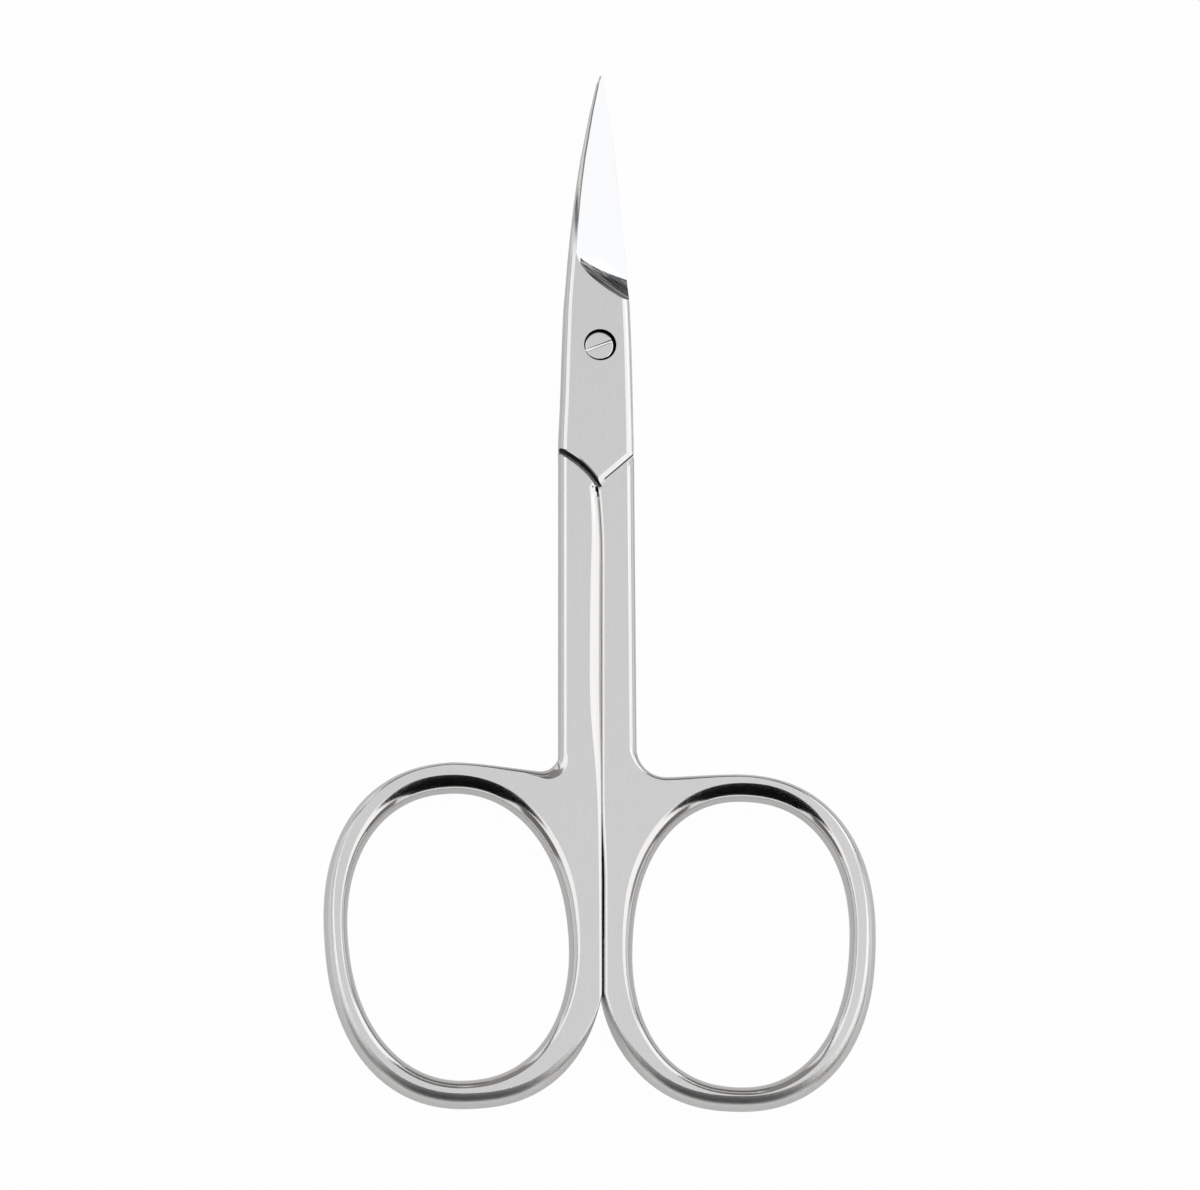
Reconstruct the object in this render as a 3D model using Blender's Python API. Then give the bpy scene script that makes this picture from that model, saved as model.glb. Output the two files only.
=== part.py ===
"""Nail scissors: two forged halves that cross at a slotted pivot screw.

Frame: the scissors lie flat, front up (+Z), tips towards +Y. The hinge axis is the Z axis and the
origin is on the flat tail of the screw, at the back of the rear half. Units are metres.

Each half is first modelled in its own plan, where its blade's back is on the left (-X), its shank
and bow on the right (+X) and its outer face up (+Z) from the plane where the two halves meet. The
front half stays like that. The rear half is turned half round the long axis.
"""

import math
from collections import namedtuple

import bmesh
import bpy
from mathutils import Matrix, Vector

MM = 0.001

# Blades and lap: lengths are measured from the pivot
BLADE_REACH = 24.7 * MM
LAP_WIDTH = 6.3 * MM
LAP_SIDE = 8.95 * MM  # pivot to the lap's lower end at its outer edge
LAP_LOW = 11.75 * MM  # pivot to the lap's lower end on the middle line
LAP_THICKNESS = 1.5 * MM  # one half, from the meeting plane to its outer face
TIP_THICKNESS = 0.6 * MM
TIP_WIDTH = 0.3 * MM
EDGE_THICKNESS = 0.12 * MM  # what the grind leaves at the cutting edge
EDGE_SETBACK = 0.12 * MM  # how far a cutting edge lies inside the other blade's back
BLADE_AIR = 0.15 * MM  # air between the two halves' inner faces
TAPER_START = 8.0 * MM  # where the blade starts to get thinner

# Side bevel of the lap and of the blade's back
BEVEL_WIDTH = 0.62 * MM
BEVEL_DEPTH = 0.45 * MM
TIP_BEVEL_WIDTH = 0.2 * MM

# Grind: a wheel runs out of the blade with its own radius
GRIND_START = 8.0 * MM
WHEEL_RADIUS = 6.6 * MM

# Curve of the blades towards the back
BEND_START = 6.0 * MM
BEND_RADIUS = 60.0 * MM

# Shoulders under the lap
SHOULDER_RADIUS = 7.5 * MM
SHOULDER_AIR = 0.45 * MM
STEP_RUN = 0.38 * MM  # slope from the lap's face down to the shank's face

# Shanks and bows
FACE_HALF = 1.3 * MM  # half the thickness between the two flat faces
BOW_HALF_DEPTH = 1.46 * MM  # half the depth of the round bar before its faces are ground flat
SHANK_AIR = 0.25 * MM  # air between the closed shanks
SPLIT_X = 0.29 * MM  # middle line between the shanks
SPLIT_TOP_X = -0.17 * MM  # the same line at the foot of the lap
SPLIT_BLEND = 6.4 * MM  # length over which the line gets from one to the other
SHANK_EDGE_WIDTH = 0.7 * MM
ROUND_PROFILE_SHARE = 0.5  # a bevel of this profile is a round one
INNER_BEVEL_WIDTH = 1.0 * MM
INNER_BEVEL_DEPTH = 0.5 * MM
WEB_OVERLAP_SHARE = 0.35  # how far the web reaches into the bar, of the bar's half width
WEB_START_SHARE = 0.24  # of a full turn round the bow, just past its top
WEB_END_SHARE = 0.7  # of the angle at which the two bows part below their middle

# Both bows end at the same distance below the pivot
BOWS_DOWN = 65.2 * MM

# Right bow and shank, in the front half's plan: the hole, then the bar's width round it
RIGHT_HOLE_HALF_WIDTH = 9.05 * MM
RIGHT_HOLE_HALF_LENGTH = 12.15 * MM
RIGHT_BAR_NEAR = 3.0 * MM  # at the shank, up to the bow's own outside
RIGHT_BAR_FAR = 2.26 * MM
RIGHT_BAR_TOP = 2.3 * MM
RIGHT_BAR_LOW = 2.06 * MM
RIGHT_BOW_PAST = 0.12 * MM  # how far the bow's own outside would reach past the middle line
RIGHT_EDGE_TOP = 3.02 * MM  # middle line to the shank's outer edge, at the lap's foot
RIGHT_EDGE_LOW = 3.25 * MM  # the same, at the web
RIGHT_CROTCH_DROP = 0.48 * MM  # top of the bow down to the corner between shank and bow
RIGHT_CROTCH_RADIUS = 2.4 * MM

# Left bow and shank, in the rear half's own plan
LEFT_HOLE_HALF_WIDTH = 9.17 * MM
LEFT_HOLE_HALF_LENGTH = 12.2 * MM
LEFT_BAR_NEAR = 3.06 * MM
LEFT_BAR_FAR = 2.04 * MM
LEFT_BAR_TOP = 2.66 * MM
LEFT_BAR_LOW = 2.38 * MM
LEFT_BOW_PAST = 0.55 * MM
LEFT_EDGE_TOP = 3.39 * MM
LEFT_EDGE_LOW = 3.42 * MM
LEFT_CROTCH_DROP = 0.9 * MM
LEFT_CROTCH_RADIUS = 1.5 * MM

# Pivot screw
SCREW_RADIUS = 0.95 * MM
HEAD_RADIUS = 1.4 * MM
HEAD_THICKNESS = 0.65 * MM
HEAD_SUNK = 0.1 * MM  # head's top below the lap's face
HEAD_CHAMFER = 0.08 * MM
SLOT_WIDTH = 0.4 * MM
SLOT_DEPTH = 0.32 * MM
SLOT_ANGLE = math.radians(22)
SEAT_AIR = 0.1 * MM  # round the head
SEAT_FLOOR_AIR = 0.05 * MM  # under the head
RUNNING_AIR = 0.05 * MM  # round the shank in the front half
HELD_AIR = 0.03 * MM  # round the shank in the rear half

# How far a cutting tool runs past what it cuts
OVERRUN = 1.0 * MM

# Corners closer than this are one corner
WELD = 0.0001 * MM

# Facets
BOW_STEPS = 56
BOW_SECTION_STEPS = 14
LAP_STATIONS = 26
GRIND_STATIONS = 24
ARC_STEPS = 10
SCREW_STEPS = 40

# Outline of the lap and the blades, seen from the front: each row gives a place along the blade as
# a share of its reach, then the left and right edges as shares of the lap's width
OUTLINE_SHARES = (
    (-0.34, -0.541, 0.466),
    (-0.18, -0.516, 0.456),
    (0.0, -0.495, 0.440),
    (0.14, -0.476, 0.420),
    (0.24, -0.449, 0.390),
    (0.35, -0.412, 0.355),
    (0.455, -0.368, 0.310),
    (0.565, -0.315, 0.272),
    (0.675, -0.250, 0.237),
    (0.787, -0.168, 0.198),
    (0.855, -0.115, 0.168),
    (0.924, -0.055, 0.128),
    (0.975, -0.005, 0.093),
)
TIP_SHARE = 0.063

# Width of the wide inner bevel along a shank: place down the shank from the lap's foot to the
# bow's middle, then the share of the full width
INNER_BEVEL_SHARES = (
    (-0.1, 0.66),
    (0.0, 0.66),
    (0.18, 0.9),
    (0.36, 1.0),
    (0.5, 0.95),
    (0.68, 0.42),
    (0.85, 0.16),
    (1.1, 0.1),
)

# A closed outline with flattened corners: centre, half width, half length, lean and fullness
Oval = namedtuple("Oval", "x y half_width half_length lean fullness")

# The width of a bow's bar at its four sides
Bar = namedtuple("Bar", "near far top low")

# What differs between the two halves, in each one's own plan
Half = namedtuple("Half", "side hole outer edge_top edge_low crotch_y crotch_radius crest_share")


def bow_outlines(half_width, half_length, past, bar):
    """A bow's hole and its outside, set by the bar's width at its four sides."""
    hole = Oval(
        x=half_width + bar.near - past,
        y=half_length + bar.low - BOWS_DOWN,
        half_width=half_width,
        half_length=half_length,
        lean=0,
        fullness=2,
    )
    outer = Oval(
        x=hole.x + (bar.far - bar.near) / 2,
        y=hole.y + (bar.top - bar.low) / 2,
        half_width=half_width + (bar.far + bar.near) / 2,
        half_length=half_length + (bar.top + bar.low) / 2,
        lean=0,
        fullness=2,
    )
    return hole, outer


def front_values():
    bar = Bar(RIGHT_BAR_NEAR, RIGHT_BAR_FAR, RIGHT_BAR_TOP, RIGHT_BAR_LOW)
    hole, outer = bow_outlines(RIGHT_HOLE_HALF_WIDTH, RIGHT_HOLE_HALF_LENGTH, RIGHT_BOW_PAST, bar)
    return Half(
        side=1,
        hole=hole._replace(lean=math.radians(-3.5), fullness=2.23),
        outer=outer._replace(lean=math.radians(-1.8), fullness=2.29),
        edge_top=RIGHT_EDGE_TOP,
        edge_low=RIGHT_EDGE_LOW,
        crotch_y=outer.y + outer.half_length - RIGHT_CROTCH_DROP,
        crotch_radius=RIGHT_CROTCH_RADIUS,
        crest_share=0.3,
    )


def rear_values():
    bar = Bar(LEFT_BAR_NEAR, LEFT_BAR_FAR, LEFT_BAR_TOP, LEFT_BAR_LOW)
    hole, outer = bow_outlines(LEFT_HOLE_HALF_WIDTH, LEFT_HOLE_HALF_LENGTH, LEFT_BOW_PAST, bar)
    return Half(
        side=-1,
        hole=hole._replace(lean=math.radians(-5.7), fullness=2.17),
        outer=outer._replace(lean=math.radians(-4.3), fullness=2.3),
        edge_top=LEFT_EDGE_TOP,
        edge_low=LEFT_EDGE_LOW,
        crotch_y=outer.y + outer.half_length - LEFT_CROTCH_DROP,
        crotch_radius=LEFT_CROTCH_RADIUS,
        crest_share=0.3,
    )


def clear_scene():
    for obj in list(bpy.data.objects):
        bpy.data.objects.remove(obj, do_unlink=True)


def steel(name, colour, roughness):
    """Polished or satin stainless steel in one even colour."""
    material = bpy.data.materials.new(name)
    material.use_nodes = True
    shader = material.node_tree.nodes["Principled BSDF"]
    shader.inputs["Base Color"].default_value = (*colour, 1)
    shader.inputs["Metallic"].default_value = 1
    shader.inputs["Roughness"].default_value = roughness
    return material


def new_object(name, bm):
    """Put a finished bmesh into the scene, with its faces turned outwards."""
    bmesh.ops.triangulate(bm, faces=bm.faces)
    bmesh.ops.recalc_face_normals(bm, faces=bm.faces)
    mesh = bpy.data.meshes.new(name)
    bm.to_mesh(mesh)
    bm.free()
    obj = bpy.data.objects.new(name, mesh)
    bpy.context.scene.collection.objects.link(obj)
    return obj


def combine(target, tool, operation):
    """Join or cut target with tool, and remove the tool."""
    modifier = target.modifiers.new("combine", "BOOLEAN")
    modifier.operation = operation
    modifier.solver = "EXACT"
    modifier.object = tool
    depsgraph = bpy.context.evaluated_depsgraph_get()
    result = bpy.data.meshes.new_from_object(target.evaluated_get(depsgraph))
    target.modifiers.clear()
    target.data = result
    bpy.data.objects.remove(tool, do_unlink=True)
    bm = bmesh.new()
    bm.from_mesh(result)
    bmesh.ops.remove_doubles(bm, verts=bm.verts, dist=WELD)
    bmesh.ops.dissolve_degenerate(bm, edges=bm.edges, dist=WELD)
    bm.to_mesh(result)
    bm.free()


def loft(name, sections):
    """A solid through closed sections with the same number of points."""
    bm = bmesh.new()
    loops = []
    for section in sections:
        corners = [bm.verts.new(point) for point in section]
        pairs = zip(corners, corners[1:] + corners[:1])
        loops.append([bm.edges.new(pair) for pair in pairs])
    for lower, upper in zip(loops, loops[1:]):
        bmesh.ops.bridge_loops(bm, edges=lower + upper)
    bmesh.ops.edgeloop_fill(bm, edges=loops[0])
    bmesh.ops.edgeloop_fill(bm, edges=loops[-1])
    return new_object(name, bm)


def prism(name, outline, low, high):
    """A plate with this plan outline between two heights."""
    return new_object(name, prism_mesh(outline, low, high))


def prism_mesh(outline, low, high):
    bm = bmesh.new()
    face = bm.faces.new([bm.verts.new((x, y, low)) for x, y in outline])
    grown = bmesh.ops.extrude_face_region(bm, geom=[face])["geom"]
    raised = [item for item in grown if isinstance(item, bmesh.types.BMVert)]
    bmesh.ops.translate(bm, verts=raised, vec=(0, 0, high - low))
    return bm


def turned(name, profile, steps):
    """A solid turned about the Z axis from a profile of (radius, height) points."""
    bm = bmesh.new()
    points = [bm.verts.new((radius, 0, height)) for radius, height in profile]
    edges = [bm.edges.new(pair) for pair in zip(points, points[1:])]
    bmesh.ops.spin(
        bm,
        geom=points + edges,
        cent=(0, 0, 0),
        axis=(0, 0, 1),
        angle=math.tau,
        steps=steps,
        use_merge=True,
    )
    bmesh.ops.remove_doubles(bm, verts=bm.verts, dist=WELD)
    return new_object(name, bm)


def cylinder(name, radius, low, high):
    profile = ((0, low), (radius, low), (radius, high), (0, high))
    return turned(name, profile, SCREW_STEPS)


def between(low, high, share):
    return low + (high - low) * share


def smooth_row(rows, place):
    """Read a table at a place in its first column, along a smooth curve through its rows."""
    last = len(rows) - 1
    index = max(i for i in range(last) if i == 0 or rows[i][0] <= place)
    before, here, there, after = (rows[min(max(index + i, 0), last)] for i in (-1, 0, 1, 2))
    share = (place - here[0]) / (there[0] - here[0])
    share = min(max(share, 0), 1)
    values = []
    for a, b, c, d in zip(before[1:], here[1:], there[1:], after[1:]):
        turn = (c - a) * share + (2 * a - 5 * b + 4 * c - d) * share**2
        values.append(b + 0.5 * (turn + (3 * b - a - 3 * c + d) * share**3))
    return values


def oval_point(oval, angle):
    """A point of an oval, by the angle in its own unleaned axes."""
    power = 2 / oval.fullness
    x = math.copysign(abs(math.cos(angle)) ** power, math.cos(angle)) * oval.half_width
    y = math.copysign(abs(math.sin(angle)) ** power, math.sin(angle)) * oval.half_length
    turn = Matrix.Rotation(oval.lean, 2)
    return Vector((oval.x, oval.y)) + turn @ Vector((x, y))


def blade_edges(half, y):
    """The blade's back and its cutting edge at a height, in the half's own plan."""
    rows = OUTLINE_SHARES + ((1.0, TIP_SHARE, TIP_SHARE),)
    left, right = (share * LAP_WIDTH for share in smooth_row(rows, y / BLADE_REACH))
    back, edge = (left, right) if half.side > 0 else (-right, -left)
    tip = half.side * TIP_SHARE * LAP_WIDTH
    back = min(back, tip - TIP_WIDTH / 2)
    inside = EDGE_SETBACK * min(max(y / BEND_START, 0), 1)
    edge = max(edge - inside, tip + TIP_WIDTH / 2)
    foot = OUTLINE_SHARES[0][0] * BLADE_REACH
    if y < foot:
        edge = between(edge, half.edge_top, min((foot - y) / (foot + LAP_LOW), 1))
    return back, edge


def blade_heights(y):
    """Height of the outer face, and width and depth of its side bevel."""
    share = min(max((y - TAPER_START) / (BLADE_REACH - TAPER_START), 0), 1)
    top = between(LAP_THICKNESS, TIP_THICKNESS, share)
    width = between(BEVEL_WIDTH, TIP_BEVEL_WIDTH, share)
    return top, width, BEVEL_DEPTH * top / LAP_THICKNESS


def blade_section(half, y):
    back, edge = blade_edges(half, y)
    top, width, depth = blade_heights(y)
    width = min(width, (edge - back) / 3)
    low = BLADE_AIR / 2
    side = top - depth
    plan = (
        (back, low),
        (edge, low),
        (edge, side),
        (edge - width, top),
        (back + width, top),
        (back, side),
    )
    return [(x, y, z) for x, z in plan]


def grind_section(half, y):
    """The space that the grinding wheel takes at a height along the blade."""
    back, edge = blade_edges(half, y)
    top, width, _ = blade_heights(y)
    width = min(width, (edge - back) / 3)
    start = back + width
    low = BLADE_AIR / 2 + EDGE_THICKNESS
    slope = (top - low) / (edge - start)
    lift = max(GRIND_START - y, 0) ** 2 / (2 * WHEEL_RADIUS)
    over = BEVEL_WIDTH
    ceiling = LAP_THICKNESS + OVERRUN + over * slope + lift
    plan = (
        (start - over, top + over * slope + lift),
        (edge + over, low - over * slope + lift),
        (edge + over, ceiling),
        (start - over, ceiling),
    )
    return [(x, y, z) for x, z in plan]


def spread(low, high, count):
    return [between(low, high, i / (count - 1)) for i in range(count)]


def lap_and_blade(half):
    foot = -(LAP_LOW + SHOULDER_AIR + STEP_RUN + OVERRUN)
    stations = [foot, *spread(-LAP_LOW, BLADE_REACH, LAP_STATIONS)]
    return loft("lap", [blade_section(half, y) for y in stations])


def grind_tool(half):
    depth = LAP_THICKNESS - BLADE_AIR / 2 - EDGE_THICKNESS
    run_out = math.sqrt(2 * WHEEL_RADIUS * (depth + OVERRUN))
    stations = spread(GRIND_START - run_out, BLADE_REACH + OVERRUN, GRIND_STATIONS)
    return loft("grind", [grind_section(half, y) for y in stations])


def shoulder_centre():
    """Centre of the round edge at the lap's foot, on the left in a half's own plan."""
    side = Vector((-LAP_WIDTH / 2, -LAP_SIDE))
    middle = Vector((0, -LAP_LOW))
    chord = middle - side
    away = Vector((chord.y, -chord.x)).normalized()
    rise = math.sqrt(SHOULDER_RADIUS**2 - (chord.length / 2) ** 2)
    return (side + middle) / 2 + away * rise


def arc(centre, radius, start, end, steps):
    """Points of a round stretch, from one angle to another."""
    angles = [between(start, end, i / steps) for i in range(steps + 1)]
    return [(centre[0] + radius * math.cos(a), centre[1] + radius * math.sin(a)) for a in angles]


def lap_foot_tool():
    """Clears the lap where the other half's shank comes up under it."""
    centre = shoulder_centre()
    outline = arc(centre, SHOULDER_RADIUS, 0, math.tau, 8 * ARC_STEPS)[:-1]
    return prism("foot", outline, -OVERRUN, LAP_THICKNESS + OVERRUN)


def split_line(half, y):
    """The shank's inner edge at a height, in the half's own plan."""
    share = min(max((-LAP_LOW - y) / SPLIT_BLEND, 0), 1)
    share = 1 - (1 - share) ** 2
    return half.side * between(SPLIT_TOP_X, SPLIT_X, share) + SHANK_AIR / 2


def split_tool(half):
    """Clears the other half's side of the line between the shanks."""
    reach = half.outer.half_width + half.outer.x
    top = -LAP_LOW + SHOULDER_RADIUS
    bottom = half.outer.y - half.outer.half_length - OVERRUN
    heights = [top, *spread(-LAP_LOW, -LAP_LOW - SPLIT_BLEND, ARC_STEPS), bottom]
    outline = [(split_line(half, y), y) for y in heights]
    outline += [(-reach, bottom), (-reach, top)]
    return prism("split", outline, -BOW_HALF_DEPTH - OVERRUN, BOW_HALF_DEPTH + OVERRUN)


def face_point(half, angle):
    """A point on the bow's flat face, near its border on the hole's side."""
    hole = oval_point(half.hole, angle)
    outer = oval_point(half.outer, angle)
    across = crest_shift(half, angle) - WEB_OVERLAP_SHARE
    return hole.lerp(outer, (1 + across) / 2)


def crest_shift(half, angle):
    """How far the flat face lies towards the bow's outside, as a share of the bar's half width."""
    return half.crest_share * max(math.sin(angle), 0) ** 2


def web_end(half):
    """Angle on the bow at which its outside leaves the line between the shanks."""
    reach = (half.outer.x - split_line(half, half.outer.y)) / half.outer.half_width
    return math.pi + WEB_END_SHARE * math.acos(reach ** (half.outer.fullness / 2))


def shank_and_web(half):
    """The shank and the web that runs from it into the bow, with rounded outer edges."""
    bow_top = oval_point(half.outer, math.tau / 4)
    low_corner = Vector((half.edge_low, half.crotch_y))
    web_turn = math.atan2(bow_top.y - low_corner.y, bow_top.x - low_corner.x)
    edge_turn = math.atan2(half.edge_low - half.edge_top, -LAP_LOW - half.crotch_y)
    corner = (math.tau / 4 + edge_turn - web_turn) / 2
    away = half.crotch_radius / math.sin(corner)
    middle = (math.tau / 4 + edge_turn + web_turn) / 2
    crotch = low_corner + away * Vector((math.cos(middle), math.sin(middle)))
    start = math.pi + edge_turn
    end = 1.5 * math.pi + web_turn
    shoulder = shoulder_centre()
    shoulder.x = -shoulder.x
    radius = SHOULDER_RADIUS - SHOULDER_AIR
    outer_angle = math.acos((half.edge_top - shoulder.x) / radius)
    inner_angle = math.acos(max((-SHANK_EDGE_WIDTH - shoulder.x) / radius, -1))
    top = arc(shoulder, radius, inner_angle, outer_angle, ARC_STEPS)
    rounded = [top[-1]]
    rounded += arc(crotch, half.crotch_radius, start, end, ARC_STEPS)
    rounded.append(tuple(bow_top))
    turns = spread(WEB_START_SHARE * math.tau, web_end(half), ARC_STEPS)
    inside = [face_point(half, turn) for turn in turns]
    outline = top[:-1] + rounded + [tuple(point) for point in inside]
    outline.append((-SHANK_EDGE_WIDTH, inside[-1].y))
    depth = between(FACE_HALF, BOW_HALF_DEPTH, 0.5)
    bm = prism_mesh(outline, -depth, depth)
    round_outer_edges(bm, rounded, SHANK_EDGE_WIDTH + depth - FACE_HALF)
    return new_object("shank", bm)


def round_outer_edges(bm, chain, width):
    """Bevel both rims along a chain of outline points."""
    near = WELD
    places = [Vector(point) for point in chain]

    def on_chain(vert):
        return any((vert.co.xy - place).length < near for place in places)

    def is_rim(edge):
        low, high = edge.verts
        return abs(low.co.z - high.co.z) < near and on_chain(low) and on_chain(high)

    bmesh.ops.bevel(
        bm,
        geom=[edge for edge in bm.edges if is_rim(edge)],
        offset=width,
        offset_type="OFFSET",
        affect="EDGES",
        segments=3,
        profile=ROUND_PROFILE_SHARE,
        material=-1,
    )


def bow(half):
    """The finger bow: a round bar spun into a ring, then laid along its two ovals."""
    bm = bmesh.new()
    hub = 2.0
    circle = bmesh.ops.create_circle(bm, segments=BOW_SECTION_STEPS, radius=1)["verts"]
    bmesh.ops.rotate(bm, verts=circle, matrix=Matrix.Rotation(math.tau / 4, 3, "X"))
    bmesh.ops.translate(bm, verts=circle, vec=(hub, 0, 0))
    bmesh.ops.spin(
        bm,
        geom=list(bm.verts) + list(bm.edges),
        axis=(0, 0, 1),
        angle=math.tau,
        steps=BOW_STEPS,
        use_merge=True,
    )
    for vert in bm.verts:
        angle = math.atan2(vert.co.y, vert.co.x)
        across = vert.co.xy.length - hub
        across += crest_shift(half, angle) * vert.co.z**2
        hole = oval_point(half.hole, angle)
        outer = oval_point(half.outer, angle)
        vert.co.xy = hole.lerp(outer, (1 + across) / 2)
        vert.co.z *= BOW_HALF_DEPTH
    return new_object("bow", bm)


def front_face_tool(half):
    """Grinds the front flat, up to the sloped step at the lap's foot."""
    reach = half.outer.x + half.outer.half_width + OVERRUN
    bottom = half.outer.y - half.outer.half_length - OVERRUN
    slope = (LAP_LOW - LAP_SIDE) / (LAP_WIDTH / 2)
    high = LAP_THICKNESS + OVERRUN
    run = STEP_RUN / (LAP_THICKNESS - FACE_HALF)

    def step_height(x, z):
        return -LAP_LOW + slope * x + run * (z - LAP_THICKNESS)

    def section(z):
        left, right = -LAP_WIDTH, LAP_WIDTH
        return [
            (-reach, bottom, z),
            (reach, bottom, z),
            (reach, step_height(right, FACE_HALF), z),
            (right, step_height(right, z), z),
            (left, step_height(left, z), z),
            (-reach, step_height(left, FACE_HALF), z),
        ]

    return loft("front_face", [section(FACE_HALF), section(high)])


def back_face_tool(half):
    """Grinds the back of the shank and the bow flat."""
    reach = half.outer.x + half.outer.half_width + OVERRUN
    bottom = half.outer.y - half.outer.half_length - OVERRUN
    outline = [(-reach, bottom), (reach, bottom), (reach, 0), (-reach, 0)]
    return prism("back_face", outline, -BOW_HALF_DEPTH - OVERRUN, -FACE_HALF)


def inner_bevel_tool(half):
    """The long bevel along the shank's inner edge, on the side away from the lap."""
    length = -LAP_LOW - half.outer.y
    low = -FACE_HALF - OVERRUN
    slope = INNER_BEVEL_DEPTH / INNER_BEVEL_WIDTH
    sections = []
    for share in spread(INNER_BEVEL_SHARES[0][0], INNER_BEVEL_SHARES[-1][0], 2 * ARC_STEPS):
        y = -LAP_LOW - share * length
        wide = smooth_row(INNER_BEVEL_SHARES, share)[0] * INNER_BEVEL_WIDTH
        side = split_line(half, y)
        level = -FACE_HALF + slope * wide
        near = side - OVERRUN
        plan = (
            (near, level + slope * OVERRUN),
            (side + wide + OVERRUN, -FACE_HALF - slope * OVERRUN),
            (side + wide + OVERRUN, low),
            (near, low),
        )
        sections.append([(x, y, z) for x, z in plan])
    return loft("inner_bevel", sections)


def bend_blade(obj):
    """Curve the blade to the back, alike at each distance from the hinge axis."""
    for vert in obj.data.vertices:
        past = math.hypot(vert.co.x, vert.co.y) - BEND_START
        if vert.co.y > 0 and past > 0:
            vert.co.z -= past**2 / (2 * BEND_RADIUS)


def make_half(name, half, material):
    body = shank_and_web(half)
    combine(body, bow(half), "UNION")
    combine(body, split_tool(half), "DIFFERENCE")
    lap = lap_and_blade(half)
    combine(lap, grind_tool(half), "DIFFERENCE")
    combine(lap, lap_foot_tool(), "DIFFERENCE")
    combine(body, lap, "UNION")
    combine(body, front_face_tool(half), "DIFFERENCE")
    combine(body, back_face_tool(half), "DIFFERENCE")
    combine(body, inner_bevel_tool(half), "DIFFERENCE")
    if half.side > 0:
        low = LAP_THICKNESS - HEAD_SUNK - HEAD_THICKNESS - SEAT_FLOOR_AIR
        seat = cylinder("seat", HEAD_RADIUS + SEAT_AIR, low, LAP_THICKNESS + OVERRUN)
        combine(body, seat, "DIFFERENCE")
        air = RUNNING_AIR
    else:
        air = HELD_AIR
    hole = cylinder("hole", SCREW_RADIUS + air, -OVERRUN, LAP_THICKNESS + OVERRUN)
    combine(body, hole, "DIFFERENCE")
    if half.side < 0:
        body.data.transform(Matrix.Rotation(math.pi, 4, "Y"))
    bend_blade(body)
    body.data.transform(Matrix.Translation((0, 0, LAP_THICKNESS)))
    finish(body, name, material)
    return body


def make_screw(name, material):
    top = 2 * LAP_THICKNESS - HEAD_SUNK
    under = top - HEAD_THICKNESS
    profile = (
        (0, 0),
        (SCREW_RADIUS, 0),
        (SCREW_RADIUS, under),
        (HEAD_RADIUS, under),
        (HEAD_RADIUS, top - HEAD_CHAMFER),
        (HEAD_RADIUS - HEAD_CHAMFER, top),
        (0, top),
    )
    screw = turned(name, profile, SCREW_STEPS)
    reach = HEAD_RADIUS + OVERRUN
    half_slot = SLOT_WIDTH / 2
    corners = ((-reach, -half_slot), (reach, -half_slot), (reach, half_slot), (-reach, half_slot))
    slot = prism("slot", corners, top - SLOT_DEPTH, top + OVERRUN)
    slot.data.transform(Matrix.Rotation(SLOT_ANGLE, 4, "Z"))
    combine(screw, slot, "DIFFERENCE")
    finish(screw, name, material)
    return screw


def finish(obj, name, material):
    obj.name = name
    obj.data.name = name
    obj.data.materials.clear()
    obj.data.materials.append(material)
    obj.data.shade_smooth()
    obj.data.set_sharp_from_angle(angle=math.radians(32))


def main():
    clear_scene()
    make_half("front_half", front_values(), steel("satin_steel_front", (0.60, 0.60, 0.61), 0.3))
    make_half("rear_half", rear_values(), steel("satin_steel_rear", (0.56, 0.56, 0.57), 0.3))
    make_screw("pivot_screw", steel("bright_steel_screw", (0.72, 0.72, 0.73), 0.2))


main()
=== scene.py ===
"""Nail scissors dressed for a studio photograph: fine shapes, finishes, light and camera.

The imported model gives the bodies. Each forging and the screw is modelled again here from the same
sizes, with rounded edges and finer stations, and rides on the body of the node that it replaces.
Lengths are metres. Each half is modelled in its own plan, where its blade's back is on the left
(-X), its shank and bow on the right (+X) and its outer face up (+Z) from the meeting plane.
"""

import math
from collections import namedtuple

import bmesh
import bpy
from mathutils import Matrix, Vector

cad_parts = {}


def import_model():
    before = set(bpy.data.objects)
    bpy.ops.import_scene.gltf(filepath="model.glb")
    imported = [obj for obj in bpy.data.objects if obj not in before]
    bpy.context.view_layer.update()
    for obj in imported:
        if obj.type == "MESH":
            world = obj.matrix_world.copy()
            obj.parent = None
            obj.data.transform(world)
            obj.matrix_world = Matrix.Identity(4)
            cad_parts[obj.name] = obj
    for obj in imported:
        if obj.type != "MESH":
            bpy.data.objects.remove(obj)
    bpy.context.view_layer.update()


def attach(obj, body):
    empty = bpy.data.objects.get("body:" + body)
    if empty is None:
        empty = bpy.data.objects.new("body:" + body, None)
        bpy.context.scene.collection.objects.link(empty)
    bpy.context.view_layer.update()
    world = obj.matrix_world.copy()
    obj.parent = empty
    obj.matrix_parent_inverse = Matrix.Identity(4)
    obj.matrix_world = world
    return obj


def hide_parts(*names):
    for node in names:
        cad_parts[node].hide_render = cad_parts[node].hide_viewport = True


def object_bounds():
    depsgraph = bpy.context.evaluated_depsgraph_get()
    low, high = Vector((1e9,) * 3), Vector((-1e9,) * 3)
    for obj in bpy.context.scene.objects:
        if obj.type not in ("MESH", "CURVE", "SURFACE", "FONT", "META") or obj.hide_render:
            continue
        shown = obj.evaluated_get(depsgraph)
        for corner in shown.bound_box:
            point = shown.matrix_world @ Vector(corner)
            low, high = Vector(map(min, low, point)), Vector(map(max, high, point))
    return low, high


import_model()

MM = 0.001

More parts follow.
